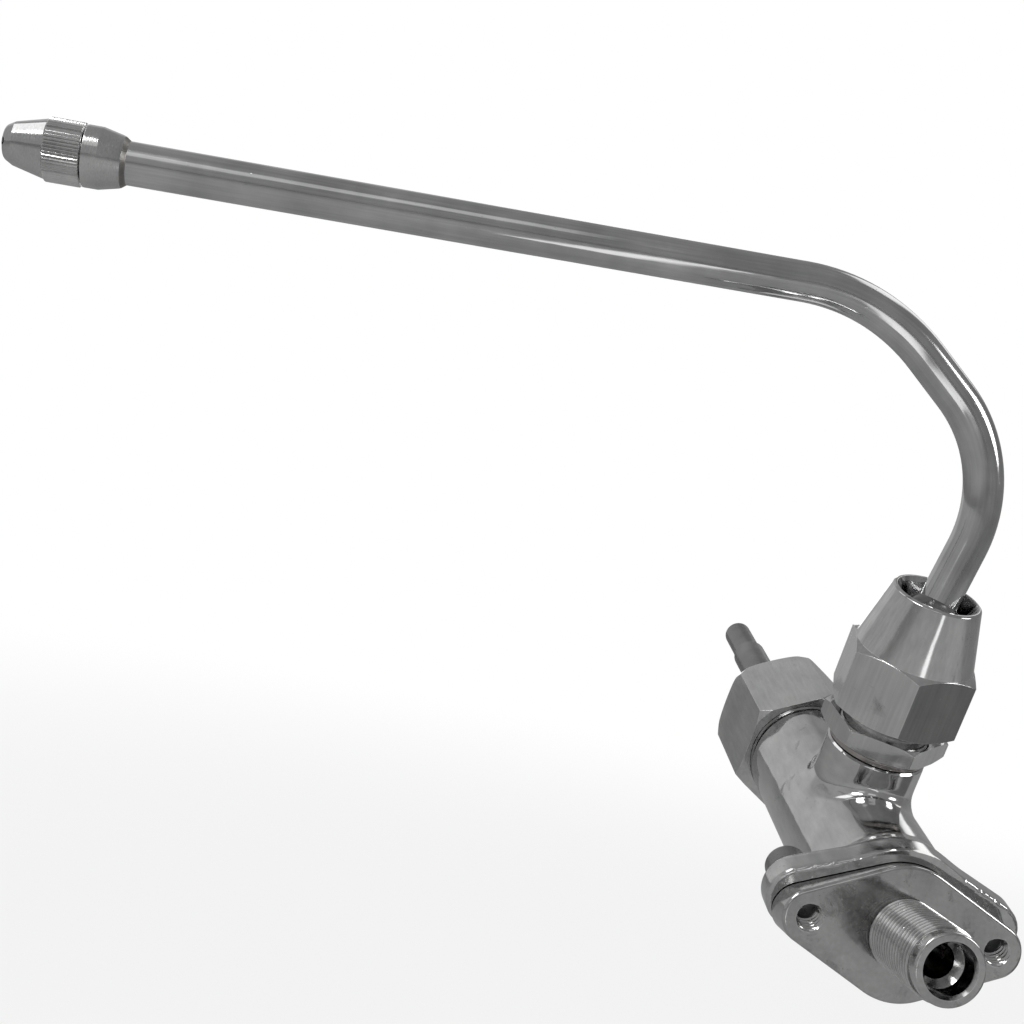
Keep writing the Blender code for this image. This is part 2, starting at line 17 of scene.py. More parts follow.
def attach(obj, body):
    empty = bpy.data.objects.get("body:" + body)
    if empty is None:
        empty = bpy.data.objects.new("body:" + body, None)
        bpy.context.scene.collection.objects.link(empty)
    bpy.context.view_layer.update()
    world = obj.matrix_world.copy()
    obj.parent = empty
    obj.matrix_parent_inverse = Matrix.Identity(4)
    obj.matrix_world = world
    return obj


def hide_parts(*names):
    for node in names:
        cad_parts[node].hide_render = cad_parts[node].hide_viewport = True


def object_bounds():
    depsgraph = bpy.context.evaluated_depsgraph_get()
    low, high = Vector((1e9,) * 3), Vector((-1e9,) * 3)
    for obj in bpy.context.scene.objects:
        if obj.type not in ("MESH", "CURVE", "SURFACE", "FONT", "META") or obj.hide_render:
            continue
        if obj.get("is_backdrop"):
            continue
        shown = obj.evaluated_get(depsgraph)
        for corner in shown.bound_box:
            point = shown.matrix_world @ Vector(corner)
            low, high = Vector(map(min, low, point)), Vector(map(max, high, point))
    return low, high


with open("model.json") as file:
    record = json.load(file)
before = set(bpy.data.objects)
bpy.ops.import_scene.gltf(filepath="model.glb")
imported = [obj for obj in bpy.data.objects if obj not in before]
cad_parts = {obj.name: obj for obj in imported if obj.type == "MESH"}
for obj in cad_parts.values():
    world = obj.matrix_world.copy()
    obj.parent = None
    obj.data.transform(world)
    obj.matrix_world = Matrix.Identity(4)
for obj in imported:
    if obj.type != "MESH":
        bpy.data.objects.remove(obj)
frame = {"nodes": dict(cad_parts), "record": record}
cad_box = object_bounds()
MM = 0.001

# %% [markdown]
# ## The axes that everything is built on
# A valve is turned work: nearly every piece is a lathe profile about one of five axes. They are read from the
# record's joints, so the visual pieces share them with the CAD: the nipple's axis (+Y through the origin), the
# barrel's axis, the branch's axis through the ball, the wand's first straight, and the nozzle's axis. The two
# flanges are clamped square to the barrel, so their screws get the barrel's axis, looking out of the joint.

# %% Read the axes from the joints
joints = {joint["name"]: joint for joint in frame["record"]["behaviour"]["joints"]}


def axis_frame(origin, axis, towards):
    """A matrix whose Z is the axis and whose X leans towards the given direction."""
    z = Vector(axis).normalized()
    x = (Vector(towards) - z * z.dot(Vector(towards))).normalized()
    turn = Matrix((x, z.cross(x), z)).transposed().to_4x4()
    return Matrix.Translation(Vector(origin)) @ turn @ Matrix.Scale(MM, 4)


ball = Vector(joints["wand_swivel"]["pos_m"])
branch_dir = Vector(joints["wand_swivel"]["axis"])
BALL_ON_BRANCH = 58.0
first_run = Vector(joints["wand_roll"]["axis"])
NOZZLE = axis_frame(joints["tip_turn"]["pos_m"], joints["tip_turn"]["axis"], -first_run)
WAND = axis_frame(ball, joints["wand_roll"]["axis"], joints["tip_turn"]["axis"])
BARREL = axis_frame((0, 0, 0), joints["spindle_turn"]["axis"], (1, 0, 0))
BRANCH = axis_frame(ball - branch_dir * BALL_ON_BRANCH * MM, branch_dir, (1, 0, 0))
NIPPLE = axis_frame((0, 0, 0), (0, 1, 0), (1, 0, 0))
barrel_dir = Vector(joints["spindle_turn"]["axis"])
JOINT = axis_frame((0, 0, 0), -barrel_dir, (1, 0, 0))
FLANGES = BARREL @ Matrix.Rotation(math.radians(-90), 4, "X")
print("ball centre", [round(c * 1000, 1) for c in ball])

# %% [markdown]
# ## Lathe helpers
# A turned piece is half of its section, spun round the axis. Real corners are never knife-sharp, and the small
# radius is what catches the light, so an outline's corner may carry a radius, which becomes a short arc before
# the spin. Drawing the radius in the outline gives cleaner shading than a bevel afterwards.

# %% Outline, spin and finishing helpers
WELD = 1e-5


def rounded(corners, steps=5):
    """Points of an outline; a corner written (r, z, radius) becomes an arc."""
    points = []
    for i, corner in enumerate(corners):
        here = Vector(corner[:2])
        if len(corner) == 2:
            points.append(here)
            continue
        before = (Vector(corners[i - 1][:2]) - here).normalized()
        after = (Vector(corners[(i + 1) % len(corners)][:2]) - here).normalized()
        half = before.angle(after) / 2
        centre = here + (before + after).normalized() * corner[2] / math.sin(half)
        start = here + before * corner[2] / math.tan(half) - centre
        sweep = start.angle_signed(here + after * corner[2] / math.tan(half) - centre)
        for k in range(steps + 1):
            points.append(centre + Matrix.Rotation(-sweep * k / steps, 2) @ start)
    return points


def arc(centre, radius, start, end, steps):
    """Points of an arc in the outline's plane, angles in degrees from the radius direction."""
    angles = [math.radians(start + (end - start) * k / steps) for k in range(steps + 1)]
    return [(centre[0] + radius * math.cos(a), centre[1] + radius * math.sin(a)) for a in angles]


def vertices(geometry):
    """The vertices among the geometry that an operator returned."""
    return [part for part in geometry if isinstance(part, bmesh.types.BMVert)]


def spun(points, sides=96):
    """A bmesh: the outline spun once round Z. An outline that ends on the axis makes a solid piece."""
    bm = bmesh.new()
    ring = [bm.verts.new((p[0], 0, p[1])) for p in points]
    solid = points[0][0] < WELD and points[-1][0] < WELD
    pairs = zip(ring, ring[1:] if solid else ring[1:] + ring[:1])
    edges = [bm.edges.new(pair) for pair in pairs]
    bmesh.ops.spin(bm, geom=ring + edges, cent=(0, 0, 0), axis=(0, 0, 1), angle=math.tau,
                   steps=sides, use_merge=True)
    bmesh.ops.remove_doubles(bm, verts=bm.verts, dist=WELD)
    bmesh.ops.recalc_face_normals(bm, faces=bm.faces)
    return bm


def to_object(name, bm, place):
    """Put a finished bmesh in the scene with its place in its mesh."""
    bmesh.ops.transform(bm, matrix=place, verts=bm.verts)
    bmesh.ops.recalc_face_normals(bm, faces=bm.faces)
    mesh = bpy.data.meshes.new(name)
    bm.to_mesh(mesh)
    bm.free()
    obj = bpy.data.objects.new(name, mesh)
    bpy.context.scene.collection.objects.link(obj)
    return obj


def apply_modifiers(obj):
    """Keep the shape that the modifiers make, and drop the modifiers."""
    depsgraph = bpy.context.evaluated_depsgraph_get()
    mesh = bpy.data.meshes.new_from_object(obj.evaluated_get(depsgraph))
    obj.modifiers.clear()
    old, obj.data = obj.data, mesh
    bpy.data.meshes.remove(old)


def combine(obj, other, operation):
    """Boolean with another object, which is used up. Slivers that it leaves are merged away."""
    mod = obj.modifiers.new("cut", "BOOLEAN")
    mod.operation, mod.solver, mod.object = operation, "EXACT", other
    apply_modifiers(obj)
    bpy.data.objects.remove(other, do_unlink=True)
    bm = bmesh.new()
    bm.from_mesh(obj.data)
    bmesh.ops.remove_doubles(bm, verts=bm.verts, dist=0.001 * MM)
    bmesh.ops.dissolve_degenerate(bm, edges=bm.edges, dist=0.0005 * MM)
    bmesh.ops.holes_fill(bm, edges=[e for e in bm.edges if len(e.link_faces) == 1], sides=12)
    bm.to_mesh(obj.data)
    bm.free()


def smooth(obj, angle=35):
    """Smooth shading that keeps hard edges, with normals weighted so that flats stay flat."""
    obj.data.shade_smooth()
    obj.data.set_sharp_from_angle(angle=math.radians(angle))
    flats = obj.modifiers.new("flats", "WEIGHTED_NORMAL")
    flats.keep_sharp = True
    apply_modifiers(obj)


def soften_edges(obj, width, segments=3, angle=28):
    """A small Bevel on every hard edge, then smooth shading."""
    bevel = obj.modifiers.new("edges", "BEVEL")
    bevel.width, bevel.segments, bevel.limit_method = width * MM, segments, "ANGLE"
    bevel.angle_limit = math.radians(angle)
    apply_modifiers(obj)
    smooth(obj, 50)


def hex_bar(across_flats, low, high, angle):
    """A hexagonal bar with a corner at the given angle, as a bmesh."""
    bm = bmesh.new()
    corner = across_flats / math.sqrt(3)
    bmesh.ops.create_circle(bm, cap_ends=True, segments=6, radius=corner)
    first = bm.verts[:][0].co
    bmesh.ops.rotate(bm, verts=bm.verts, cent=(0, 0, 0),
                     matrix=Matrix.Rotation(math.radians(angle) - math.atan2(first.y, first.x), 3, "Z"))
    bmesh.ops.translate(bm, verts=bm.verts, vec=(0, 0, low))
    top = bmesh.ops.extrude_face_region(bm, geom=bm.faces[:], use_keep_orig=True)["geom"]
    bmesh.ops.translate(bm, verts=vertices(top), vec=(0, 0, high - low))
    return bm


def report(obj):
    print(f"{obj.name}: {len(obj.data.polygons)} faces")
    return obj


def turned(name, corners, place, sides=96, angle=35):
    """A finished lathe piece from its outline."""
    piece = to_object(name, spun(rounded(corners), sides), place)
    smooth(piece, angle)
    return report(piece)


def hex_nut(name, corners, across_flats, corner_angle, place, edge=0.25, sides=96):
    """A lathe piece milled to a hexagon: only what is inside both shapes is left."""
    outline = rounded(corners)
    heights = [p[1] for p in outline]
    piece = to_object(name, spun(outline, sides), place)
    bar = hex_bar(across_flats, min(heights) - 1, max(heights) + 1, corner_angle)
    combine(piece, to_object("bar", bar, place), "INTERSECT")
    soften_edges(piece, edge)
    return report(piece)


# %% [markdown]
# ## Screw threads
# A thread is one V-shaped section repeated every pitch and swept round the axis while it climbs. Spinning a
# whole row of those sections through one turn, with the climb of one pitch, joins every section to the next.
# The two ragged ends are cut square with a plane, which is how a threaded bar is sawn to length.

# %% Helical thread
def threaded_bar(crest, root, pitch, low, high, steps=60):
    """A closed right-hand threaded bar between two heights, as a bmesh."""
    bm = bmesh.new()
    turns = math.ceil((high - low) / pitch) + 3
    section = [(root, 0.0), (root, 0.1), (crest, 0.44), (crest, 0.60)]
    row = [bm.verts.new((r, 0, low + (turn - 2 + share) * pitch))
           for turn in range(turns) for r, share in section]
    edges = [bm.edges.new(pair) for pair in zip(row, row[1:])]
    bmesh.ops.spin(bm, geom=row + edges, cent=(0, 0, 0), axis=(0, 0, 1), dvec=(0, 0, pitch / steps),
                   angle=math.tau, steps=steps, use_merge=False)
    bmesh.ops.remove_doubles(bm, verts=bm.verts, dist=2e-3)
    for height, outwards in ((low, (0, 0, -1)), (high, (0, 0, 1))):
        cut = bmesh.ops.bisect_plane(bm, geom=bm.verts[:] + bm.edges[:] + bm.faces[:],
                                     plane_co=(0, 0, height), plane_no=outwards, clear_outer=True)
        rim = [e for e in cut["geom_cut"] if isinstance(e, bmesh.types.BMEdge)]
        bmesh.ops.contextual_create(bm, geom=rim)
    bmesh.ops.recalc_face_normals(bm, faces=bm.faces)
    return bm


# %% [markdown]
# ## Connector flange
# The front flange is a rhombic plate with the inlet nipple turned on it in one piece. It is drawn as three
# arcs and their tangents, pulled to its thickness and rounded along its rim. Its rear is cut to a wedge, which
# sets the tap at an angle to the pipe. The pipe thread, the plain pilot and the chamfered bore are united with
# it, and the two tapped holes are cut with threaded bars.

# %% Connector flange with its pipe thread
HOLES_X = 22.3
THREAD = dict(crest=8.33, root=7.5, pitch=1.337)
TAPPED = dict(crest=3.15, root=2.62, pitch=1.0)


def rhombus(hub, ear, steps):
    """Outline of a two-bolt flange, counter-clockwise in X and Z."""
    reach = math.acos((hub - ear) / HOLES_X)
    points = []
    for side in (1, -1):
        for k in range(steps):
            a = -reach + 2 * reach * k / (steps - 1)
            points.append((side * (HOLES_X + ear * math.cos(a)), side * ear * math.sin(a)))
        for k in range(steps):
            a = reach + (math.pi - 2 * reach) * k / (steps - 1)
            points.append((side * hub * math.cos(a), side * hub * math.sin(a)))
    return points


def plate(hub, ear, near, far, round_near, round_far, steps=28):
    """The rhombic plate between two depths in Y, as a bmesh."""
    bm = bmesh.new()
    face = bm.faces.new([bm.verts.new((x, near, z)) for x, z in rhombus(hub, ear, steps)])
    top = bmesh.ops.extrude_face_region(bm, geom=[face], use_keep_orig=True)["geom"]
    bmesh.ops.translate(bm, verts=vertices(top), vec=(0, far - near, 0))
    bmesh.ops.recalc_face_normals(bm, faces=bm.faces)
    for depth, radius in ((near, round_near), (far, round_far)):
        rim = [e for e in bm.edges if all(abs(v.co.y - depth) < WELD for v in e.verts)]
        bmesh.ops.bevel(bm, geom=rim, offset=radius, segments=5, profile=0.5, affect="EDGES", material=-1)
    return bm


def connector_flange():
    piece = to_object("inlet_flange", plate(15.5, 6.2, -13.0, 0.0, 0.35, 0.8), Matrix.Scale(MM, 4))
    combine(piece, to_object("wedge", spun([(0, -40), (60, -40), (60, -7), (0, -7)], 32), JOINT), "DIFFERENCE")
    neck = spun(rounded([(0, -3), (7.6, -3), (7.6, 20.6), (7.9, 21.0, 0.2), (7.9, 23.5, 0.55), (0, 23.5)]))
    combine(piece, to_object("neck", neck, NIPPLE), "UNION")
    thread = threaded_bar(**THREAD, low=-1.0, high=20.1)
    combine(piece, to_object("thread", thread, NIPPLE), "UNION")
    bore = spun(rounded([(0, -9), (4.0, -9), (4.0, 16.5), (5.55, 18.1), (5.55, 22.6, 0.3), (6.2, 23.6), (0, 23.6)]))
    combine(piece, to_object("bore", bore, NIPPLE), "DIFFERENCE")
    passage = spun([(0, -9), (4.63, -9), (4.37, -0.9), (0, -0.9)], sides=47)
    combine(piece, to_object("passage", passage, JOINT), "DIFFERENCE")
    recess = spun([(7.3, -9), (12.3, -9), (12.3, -5.6), (7.3, -5.6)], sides=48)
    combine(piece, to_object("recess", recess, JOINT), "DIFFERENCE")
    for side in (1, -1):
        tap = threaded_bar(**TAPPED, low=-9.0, high=2.0, steps=32)
        mouth = spun([(0, -0.45), (2.7, -0.45), (3.5, 0.4), (0, 0.4)], sides=32)
        shift = Matrix.Translation((side * HOLES_X * MM, 0, 0))
        combine(piece, to_object("tap", tap, shift @ JOINT), "DIFFERENCE")
        combine(piece, to_object("mouth", mouth, shift @ NIPPLE), "DIFFERENCE")
    smooth(piece, 32)
    return report(piece)


inlet_flange = connector_flange()


# %% [markdown]
# ## Valve body
# The body is one casting: the rear flange, the barrel and the outlet branch flow into each other with fillets,
# and then it is polished and plated. A union of plain solids gives hard inner corners, and a bevel on those is
# fragile. So the union is remeshed into small even quads, and every vertex is drawn onto a smooth distance
# field in which the three shapes melt together. Flats and bores are machined afterwards, with clean cutters.

# %% The casting's distance field
REAR = dict(hub=16.6, ear=8.0, near=-14.6, far=-7.3)
to_barrel = np.array(BARREL.inverted())
to_branch = np.array(BRANCH.inverted())
to_flanges = np.array(FLANGES.inverted())


def about_axis(points, inverse):
    """Radius and height of points (in metres) about one of the axes, in millimetres."""
    local = points @ inverse[:3, :3].T + inverse[:3, 3]
    return np.hypot(local[:, 0], local[:, 1]), local[:, 2]


def melt(a, b, width):
    """Smooth union of two distance fields: a fillet about as wide as given."""
    blend = np.maximum(width - np.abs(a - b), 0) / width
    return np.minimum(a, b) - blend ** 2 * width / 4


def plate_field(points):
    """Distance to the rear flange: three circles and their tangents, with rounded rims."""
    local = points @ to_flanges[:3, :3].T + to_flanges[:3, 3]
    x, z = np.abs(local[:, 0]), np.abs(local[:, 2])
    slope = (REAR["hub"] - REAR["ear"]) / HOLES_X
    run = math.sqrt(1 - slope ** 2)
    along = run * x - slope * z
    flat = np.where(along < 0, np.hypot(x, z) - REAR["hub"],
                    np.where(along > run * HOLES_X, np.hypot(x - HOLES_X, z) - REAR["ear"],
                             run * z + slope * x - REAR["hub"]))
    middle = (REAR["near"] + REAR["far"]) / 2
    depth = local[:, 1] - middle
    rim = np.where(depth < 0, 2.3, 0.7)
    wide, deep = flat + rim, np.abs(depth) - (REAR["far"] - REAR["near"]) / 2 + rim
    return np.minimum(np.maximum(wide, deep), 0) + np.hypot(np.maximum(wide, 0), np.maximum(deep, 0)) - rim


def casting_field(points):
    r, s = about_axis(points, to_barrel)
    barrel = np.maximum(r - (16.2 - 0.4 * np.clip(s / 81.6, 0, 1)), 2.0 - s)
    r, h = about_axis(points, to_branch)
    branch = np.maximum(r - (12.9 - 0.6 * np.clip(h / 17, 0, 1)), -h)
    return melt(melt(barrel, branch, 3.2), plate_field(points), 2.6)


print("field at the ball (mm):", casting_field(np.array([ball]))[0].round(2))


# %% Union, remesh, and draw every vertex onto the field
def valve_body():
    piece = to_object("tap_body", plate(REAR["hub"], REAR["ear"], REAR["near"], REAR["far"], 2.0, 0.6), FLANGES)
    combine(piece, to_object("barrel", spun([(0, 4), (16.2, 4), (15.8, 97), (0, 97)]), BARREL), "UNION")
    combine(piece, to_object("branch", spun([(0, 0), (12.9, 0), (12.3, 27), (0, 27)]), BRANCH), "UNION")
    remesh = piece.modifiers.new("even", "REMESH")
    remesh.mode, remesh.voxel_size = "VOXEL", 0.55 * MM
    apply_modifiers(piece)
    co = np.empty(len(piece.data.vertices) * 3)
    piece.data.vertices.foreach_get("co", co)
    co = co.reshape(-1, 3)
    _, s = about_axis(co, to_barrel)
    _, h = about_axis(co, to_branch)
    free = (s < 94.5) & (h < 26.5)
    step = 0.05 * MM
    for _ in range(5):
        value = casting_field(co)
        slope = np.stack([(casting_field(co + step * unit) - casting_field(co - step * unit)) / (2 * step)
                          for unit in np.eye(3)], axis=1)
        move = slope * (value / np.maximum((slope ** 2).sum(1), 1e-9))[:, None]
        length = np.linalg.norm(move, axis=1, keepdims=True)
        move *= np.minimum(1, 0.4 * MM / np.maximum(length, 1e-12))
        co[free] -= move[free]
    piece.data.vertices.foreach_set("co", co.ravel())
    return piece


tap_body = valve_body()
print("casting:", len(tap_body.data.polygons), "faces")

# %% [markdown]
# ## Machining the casting
# Each flat and bore of a casting is cut on a machine after casting, which is why those edges are crisp while
# the rest is soft. The same order is followed here: joint face, barrel end, branch end, chamber and bolt holes.

# %% Machine the flats and bores
def machine(piece, outline, place, sides=64):
    combine(piece, to_object("cutter", spun(outline, sides), place), "DIFFERENCE")


machine(tap_body, [(0, -7.3), (60, -7.3), (60, 14), (0, 14)], JOINT)
machine(tap_body, [(0, 94.0), (13.8, 94.0), (14.6, 93.2), (14.6, 81.6), (15.1, 81.6), (15.55, 81.1),
                   (19, 80.9), (19, 99), (0, 99)], BARREL, 128)
machine(tap_body, [(0, -4), (4.6, -4), (4.6, 30), (8.3, 30), (8.3, 36), (11, 36), (11, 99), (0, 99)], BARREL)
machine(tap_body, [(0, 0), (4.5, 0), (4.5, 13), (8.6, 13), (8.6, 23.9), (9.0, 24.3), (11.8, 24.3),
                   (12.25, 23.85), (14, 23.7), (14, 29), (0, 29)], BRANCH, 128)
for side in (1, -1):
    bolt_hole = [(0, -18), (4.1, -18), (4.1, -14.6), (3.25, -14.0), (3.25, -5), (0, -5)]
    machine(tap_body, bolt_hole, Matrix.Translation((side * HOLES_X * MM, 0, 0)) @ JOINT)
smooth(tap_body, 32)
report(tap_body)

# %% [markdown]
# ## Cap screws and spring washers
# Two hex-socket cap screws clamp the flanges. The head is turned with a rounded top edge, its side is knurled
# for finger grip, and the socket is pressed in. The washer is square wire wound to just under one turn and cut,
# so its two ends stand a little apart; a spin that climbs as it turns makes exactly that.

# %% Cap screws
def cap_screw(name, x):
    place = Matrix.Translation((x * MM, 0, 0)) @ JOINT
    top, seat = -22.2, -16.2
    head = spun(rounded([(0, seat), (5.0, seat, 0.2), (5.0, top, 0.7), (3.3, top), (0, top)]), 72)
    for v in head.verts:
        grip = top + 1.0 < v.co.z < seat + 0.01 and v.co.xy.length > 4.9
        if grip and round(v.co.xy.angle_signed(Vector((1, 0))) / math.tau * 72) % 2:
            v.co.xy *= 0.985
    piece = to_object(name, head, place)
    socket = hex_bar(5.0, top - 1, top + 3.2, 30)
    combine(piece, to_object("socket", socket, place), "DIFFERENCE")
    dimple = spun([(0, top - 1), (3.3, top - 1), (3.1, top + 0.1), (0, top + 1.5)], 48)
    combine(piece, to_object("dimple", dimple, place), "DIFFERENCE")
    shank = threaded_bar(crest=2.9, root=2.4, pitch=1.0, low=-17.0, high=-4.2, steps=36)
    combine(piece, to_object("shank", shank, place), "UNION")
    smooth(piece, 30)
    return report(piece)


cap_screws = [cap_screw(f"cap_screw_{i + 1}", x) for i, x in enumerate((HOLES_X, -HOLES_X))]


# %% Spring washers
def spring_washer(name, x):
    bm = bmesh.new()
    wire = rounded([(3.3, -16.0, 0.12), (5.3, -16.0, 0.12), (5.3, -14.85, 0.12), (3.3, -14.85, 0.12)], 2)
    face = bm.faces.new([bm.verts.new((r, 0, z)) for r, z in wire])
    bmesh.ops.spin(bm, geom=[face], cent=(0, 0, 0), axis=(0, 0, 1), angle=math.radians(346),
                   dvec=(0, 0, 0.0022), steps=64, use_merge=False)
    bmesh.ops.rotate(bm, verts=bm.verts, cent=(0, 0, 0), matrix=Matrix.Rotation(math.radians(-70), 3, "Z"))
    piece = to_object(name, bm, Matrix.Translation((x * MM, 0, 0)) @ JOINT)
    smooth(piece, 50)
    return report(piece)


washers = [spring_washer(f"spring_washer_{i + 1}", x) for i, x in enumerate((HOLES_X, -HOLES_X))]

# %% [markdown]
# ## Hexagon pieces
# A nut is turned from hexagon bar. The lathe rounds off the bar's corners at both ends, and where that cone
# meets the six flats it leaves the curved chamfer lines that every nut shows. Intersecting a lathe shape with a
# hexagonal bar makes those lines for free, and a small bevel breaks the edges as polishing does.

# %% Bonnet nut
bonnet_nut = hex_nut("gland_nut", [
    (14.9, 82.5), (18.7, 82.5, 0.3), (20.3, 83.9), (20.3, 108.0), (18.9, 111.4, 2.6), (15.6, 113.0, 2.4),
    (6.0, 113.0, 0.3), (5.45, 112.4), (5.45, 103), (11.5, 103), (14.9, 100.5)], 35.0, 33.0, BARREL, 0.3)

# %% Union and its washer
outlet_union = hex_nut("branch_union", [
    (4.5, 14), (8.3, 14), (8.3, 26.6), (12.6, 26.6), (12.6, 27), (13.7, 27, 0.2), (15.7, 28.1),
    (15.7, 31.4), (14.3, 32.2, 0.3), (10.6, 32.2), (10.6, 34.2), (11.1, 34.8), (11.1, 47.2), (10.3, 48),
    (4.5, 48)], 27.0, 39.0, BRANCH, 0.18)
union_washer = turned("crush_washer", [(8.6, 24.6, 0.3), (12.1, 24.6, 0.5), (12.1, 26.3, 0.5), (8.6, 26.3, 0.3)],
                      BRANCH)

# %% Cone nut
cone_nut = hex_nut("cone_cap", [
    (11.4, 34.5), (14.3, 34.5, 0.3), (16.8, 35.9), (16.8, 50.2), (14.4, 51.5), (10.75, 66.6, 0.5),
    (10.2, 67.0, 0.2), (9.75, 67), (7.9, 63.2), (7.9, 62.5), (10.9, 59.5), (11.4, 58.7)], 29.0, 17.0, BRANCH, 0.2)

# %% [markdown]
# ## Spindle
# The spindle is ground steel. Its inner end carries the coarse thread that lifts the seal off the seat, and its
# outer end has the flat that a knob's grub screw presses on. It is one outline, one thread and one milled flat.

# %% Spindle
def spindle():
    piece = to_object("tap_spindle", spun(rounded([
        (0, 47.5), (4.6, 47.5, 0.2), (4.6, 51.0, 0.2), (2.9, 51.0), (2.9, 55.0), (6.0, 56.0), (6.0, 73.0),
        (5.0, 74.5), (5.0, 155.0, 0.5), (4.2, 155.0), (4.2, 173.0, 0.9), (0, 173.0)])), BARREL)
    thread = threaded_bar(crest=7.0, root=5.8, pitch=2.5, low=57.0, high=72.5, steps=60)
    combine(piece, to_object("thread", thread, BARREL), "UNION")
    bm = bmesh.new()
    bmesh.ops.create_cube(bm, size=1.0)
    bmesh.ops.scale(bm, verts=bm.verts, vec=(12, 4, 16))
    bmesh.ops.translate(bm, verts=bm.verts, vec=(0, -5.3, 169))
    combine(piece, to_object("mill", bm, BARREL), "DIFFERENCE")
    smooth(piece, 32)
    return report(piece)


tap_spindle = spindle()

# %% [markdown]
# ## Ball and wand
# The wand turns and tilts on a hollow ball. The tube is one length of stainless tube, bent twice on a former
# and brazed into the ball. Its outline is a pair of rings, carried along straights by extrusion and round bends
# by spins, so the tube keeps one ring pattern from end to end. Each vertex also stores where it lies round and
# along the tube, and the polishing marks follow that instead of running straight through the bends.

# %% Ball
TUBE_R, TUBE_BORE = 4.75, 3.6
ball_arc = arc((0, 0), 8.5, 53.6, -61.9, 26)
wand_ball = turned("swivel_ball", ball_arc + [(4.0, -7.5, 0.1), (3.6, -7.1), (3.6, 1.9), (5.05, 1.9)], WAND)


# %% Tube
def wand_tube(sides=48):
    bm = bmesh.new()
    rings = []
    for radius in (TUBE_R, TUBE_BORE):
        rings.append(bmesh.ops.create_circle(bm, segments=sides, radius=radius)["verts"])
    angles = {v: math.atan2(v.co.y, v.co.x) for v in bm.verts}
    bmesh.ops.translate(bm, verts=bm.verts, vec=(0, 0, 2.2))
    lay = bm.verts.layers.float_vector.new("lay")
    edges, length, point, heading = bm.edges[:], 0.0, Vector((0, 0, 2.2)), 0.0
    start = bm.edges[:]

    def mark(verts, at):
        for v in verts:
            offset = v.co - point
            across = Vector((math.cos(heading), 0, -math.sin(heading)))
            a = math.atan2(offset.y, offset.dot(across))
            v[lay] = (math.cos(a), math.sin(a), at)

    mark(bm.verts, 0.0)
    for kind, size, degrees in (("run", 19.3, 0), ("bend", 33.0, 67.0), ("run", 12.0, 0),
                                ("bend", 48.0, 41.9), ("run", 159.2, 0)):
        pieces = round(degrees / 2.5) if kind == "bend" else round(size / 4)
        for _ in range(pieces):
            out = bmesh.ops.extrude_edge_only(bm, edges=edges)["geom"]
            verts = vertices(out)
            if kind == "run":
                step = Vector((math.sin(heading), 0, math.cos(heading))) * size / pieces
                bmesh.ops.translate(bm, verts=verts, vec=step)
                point, length = point + step, length + size / pieces
            else:
                turn = math.radians(degrees) / pieces
                centre = point + size * Vector((math.cos(heading), 0, -math.sin(heading)))
                turned_by = Matrix.Rotation(turn, 3, "Y")
                bmesh.ops.rotate(bm, verts=verts, cent=centre, matrix=turned_by)
                point, length = centre + turned_by @ (point - centre), length + size * turn
                heading += turn
            edges = [g for g in out if isinstance(g, bmesh.types.BMEdge) and all(v in verts for v in g.verts)]
            mark(verts, length)
    bmesh.ops.bridge_loops(bm, edges=start)
    bmesh.ops.bridge_loops(bm, edges=edges)
    bmesh.ops.recalc_face_normals(bm, faces=bm.faces)
    piece = to_object("steam_wand", bm, WAND)
    smooth(piece, 40)
    print("tube length", round(length, 1), "mm, end", [round(c, 1) for c in (WAND @ point) * 1000])
    return report(piece)


steam_wand = wand_tube()

# %% [markdown]
# ## Ferrule, braze and tip
# The end of the wand is a ferrule brazed to the tube, with a screw-on tip. The tip's grip is a straight knurl:
# a bar rolled with fine teeth, then turned down to the nose, which leaves a jagged edge where the cone runs out
# through the teeth. A toothed bar intersected with the tip's outline makes the same edge.

# %% Ferrule and braze
print("nozzle frame at", [round(c * 1000, 2) for c in NOZZLE.translation])
ferrule = turned("wand_ferrule", [
    (5.05, 0), (5.55, 0), (5.75, 0.5, 0.2), (6.75, 4.8, 0.3), (6.75, 8.1, 0.2), (4.1, 8.1), (4.1, 14.4),
    (3.7, 14.8), (2.4, 14.8), (2.4, 4.0), (5.05, 4.0)], NOZZLE)
braze = turned("braze_ring", [(4.78, -1.1, 0.02), (5.0, -0.75, 0.25), (5.55, -0.02), (5.03, -0.02), (4.78, -0.2)],
               NOZZLE)


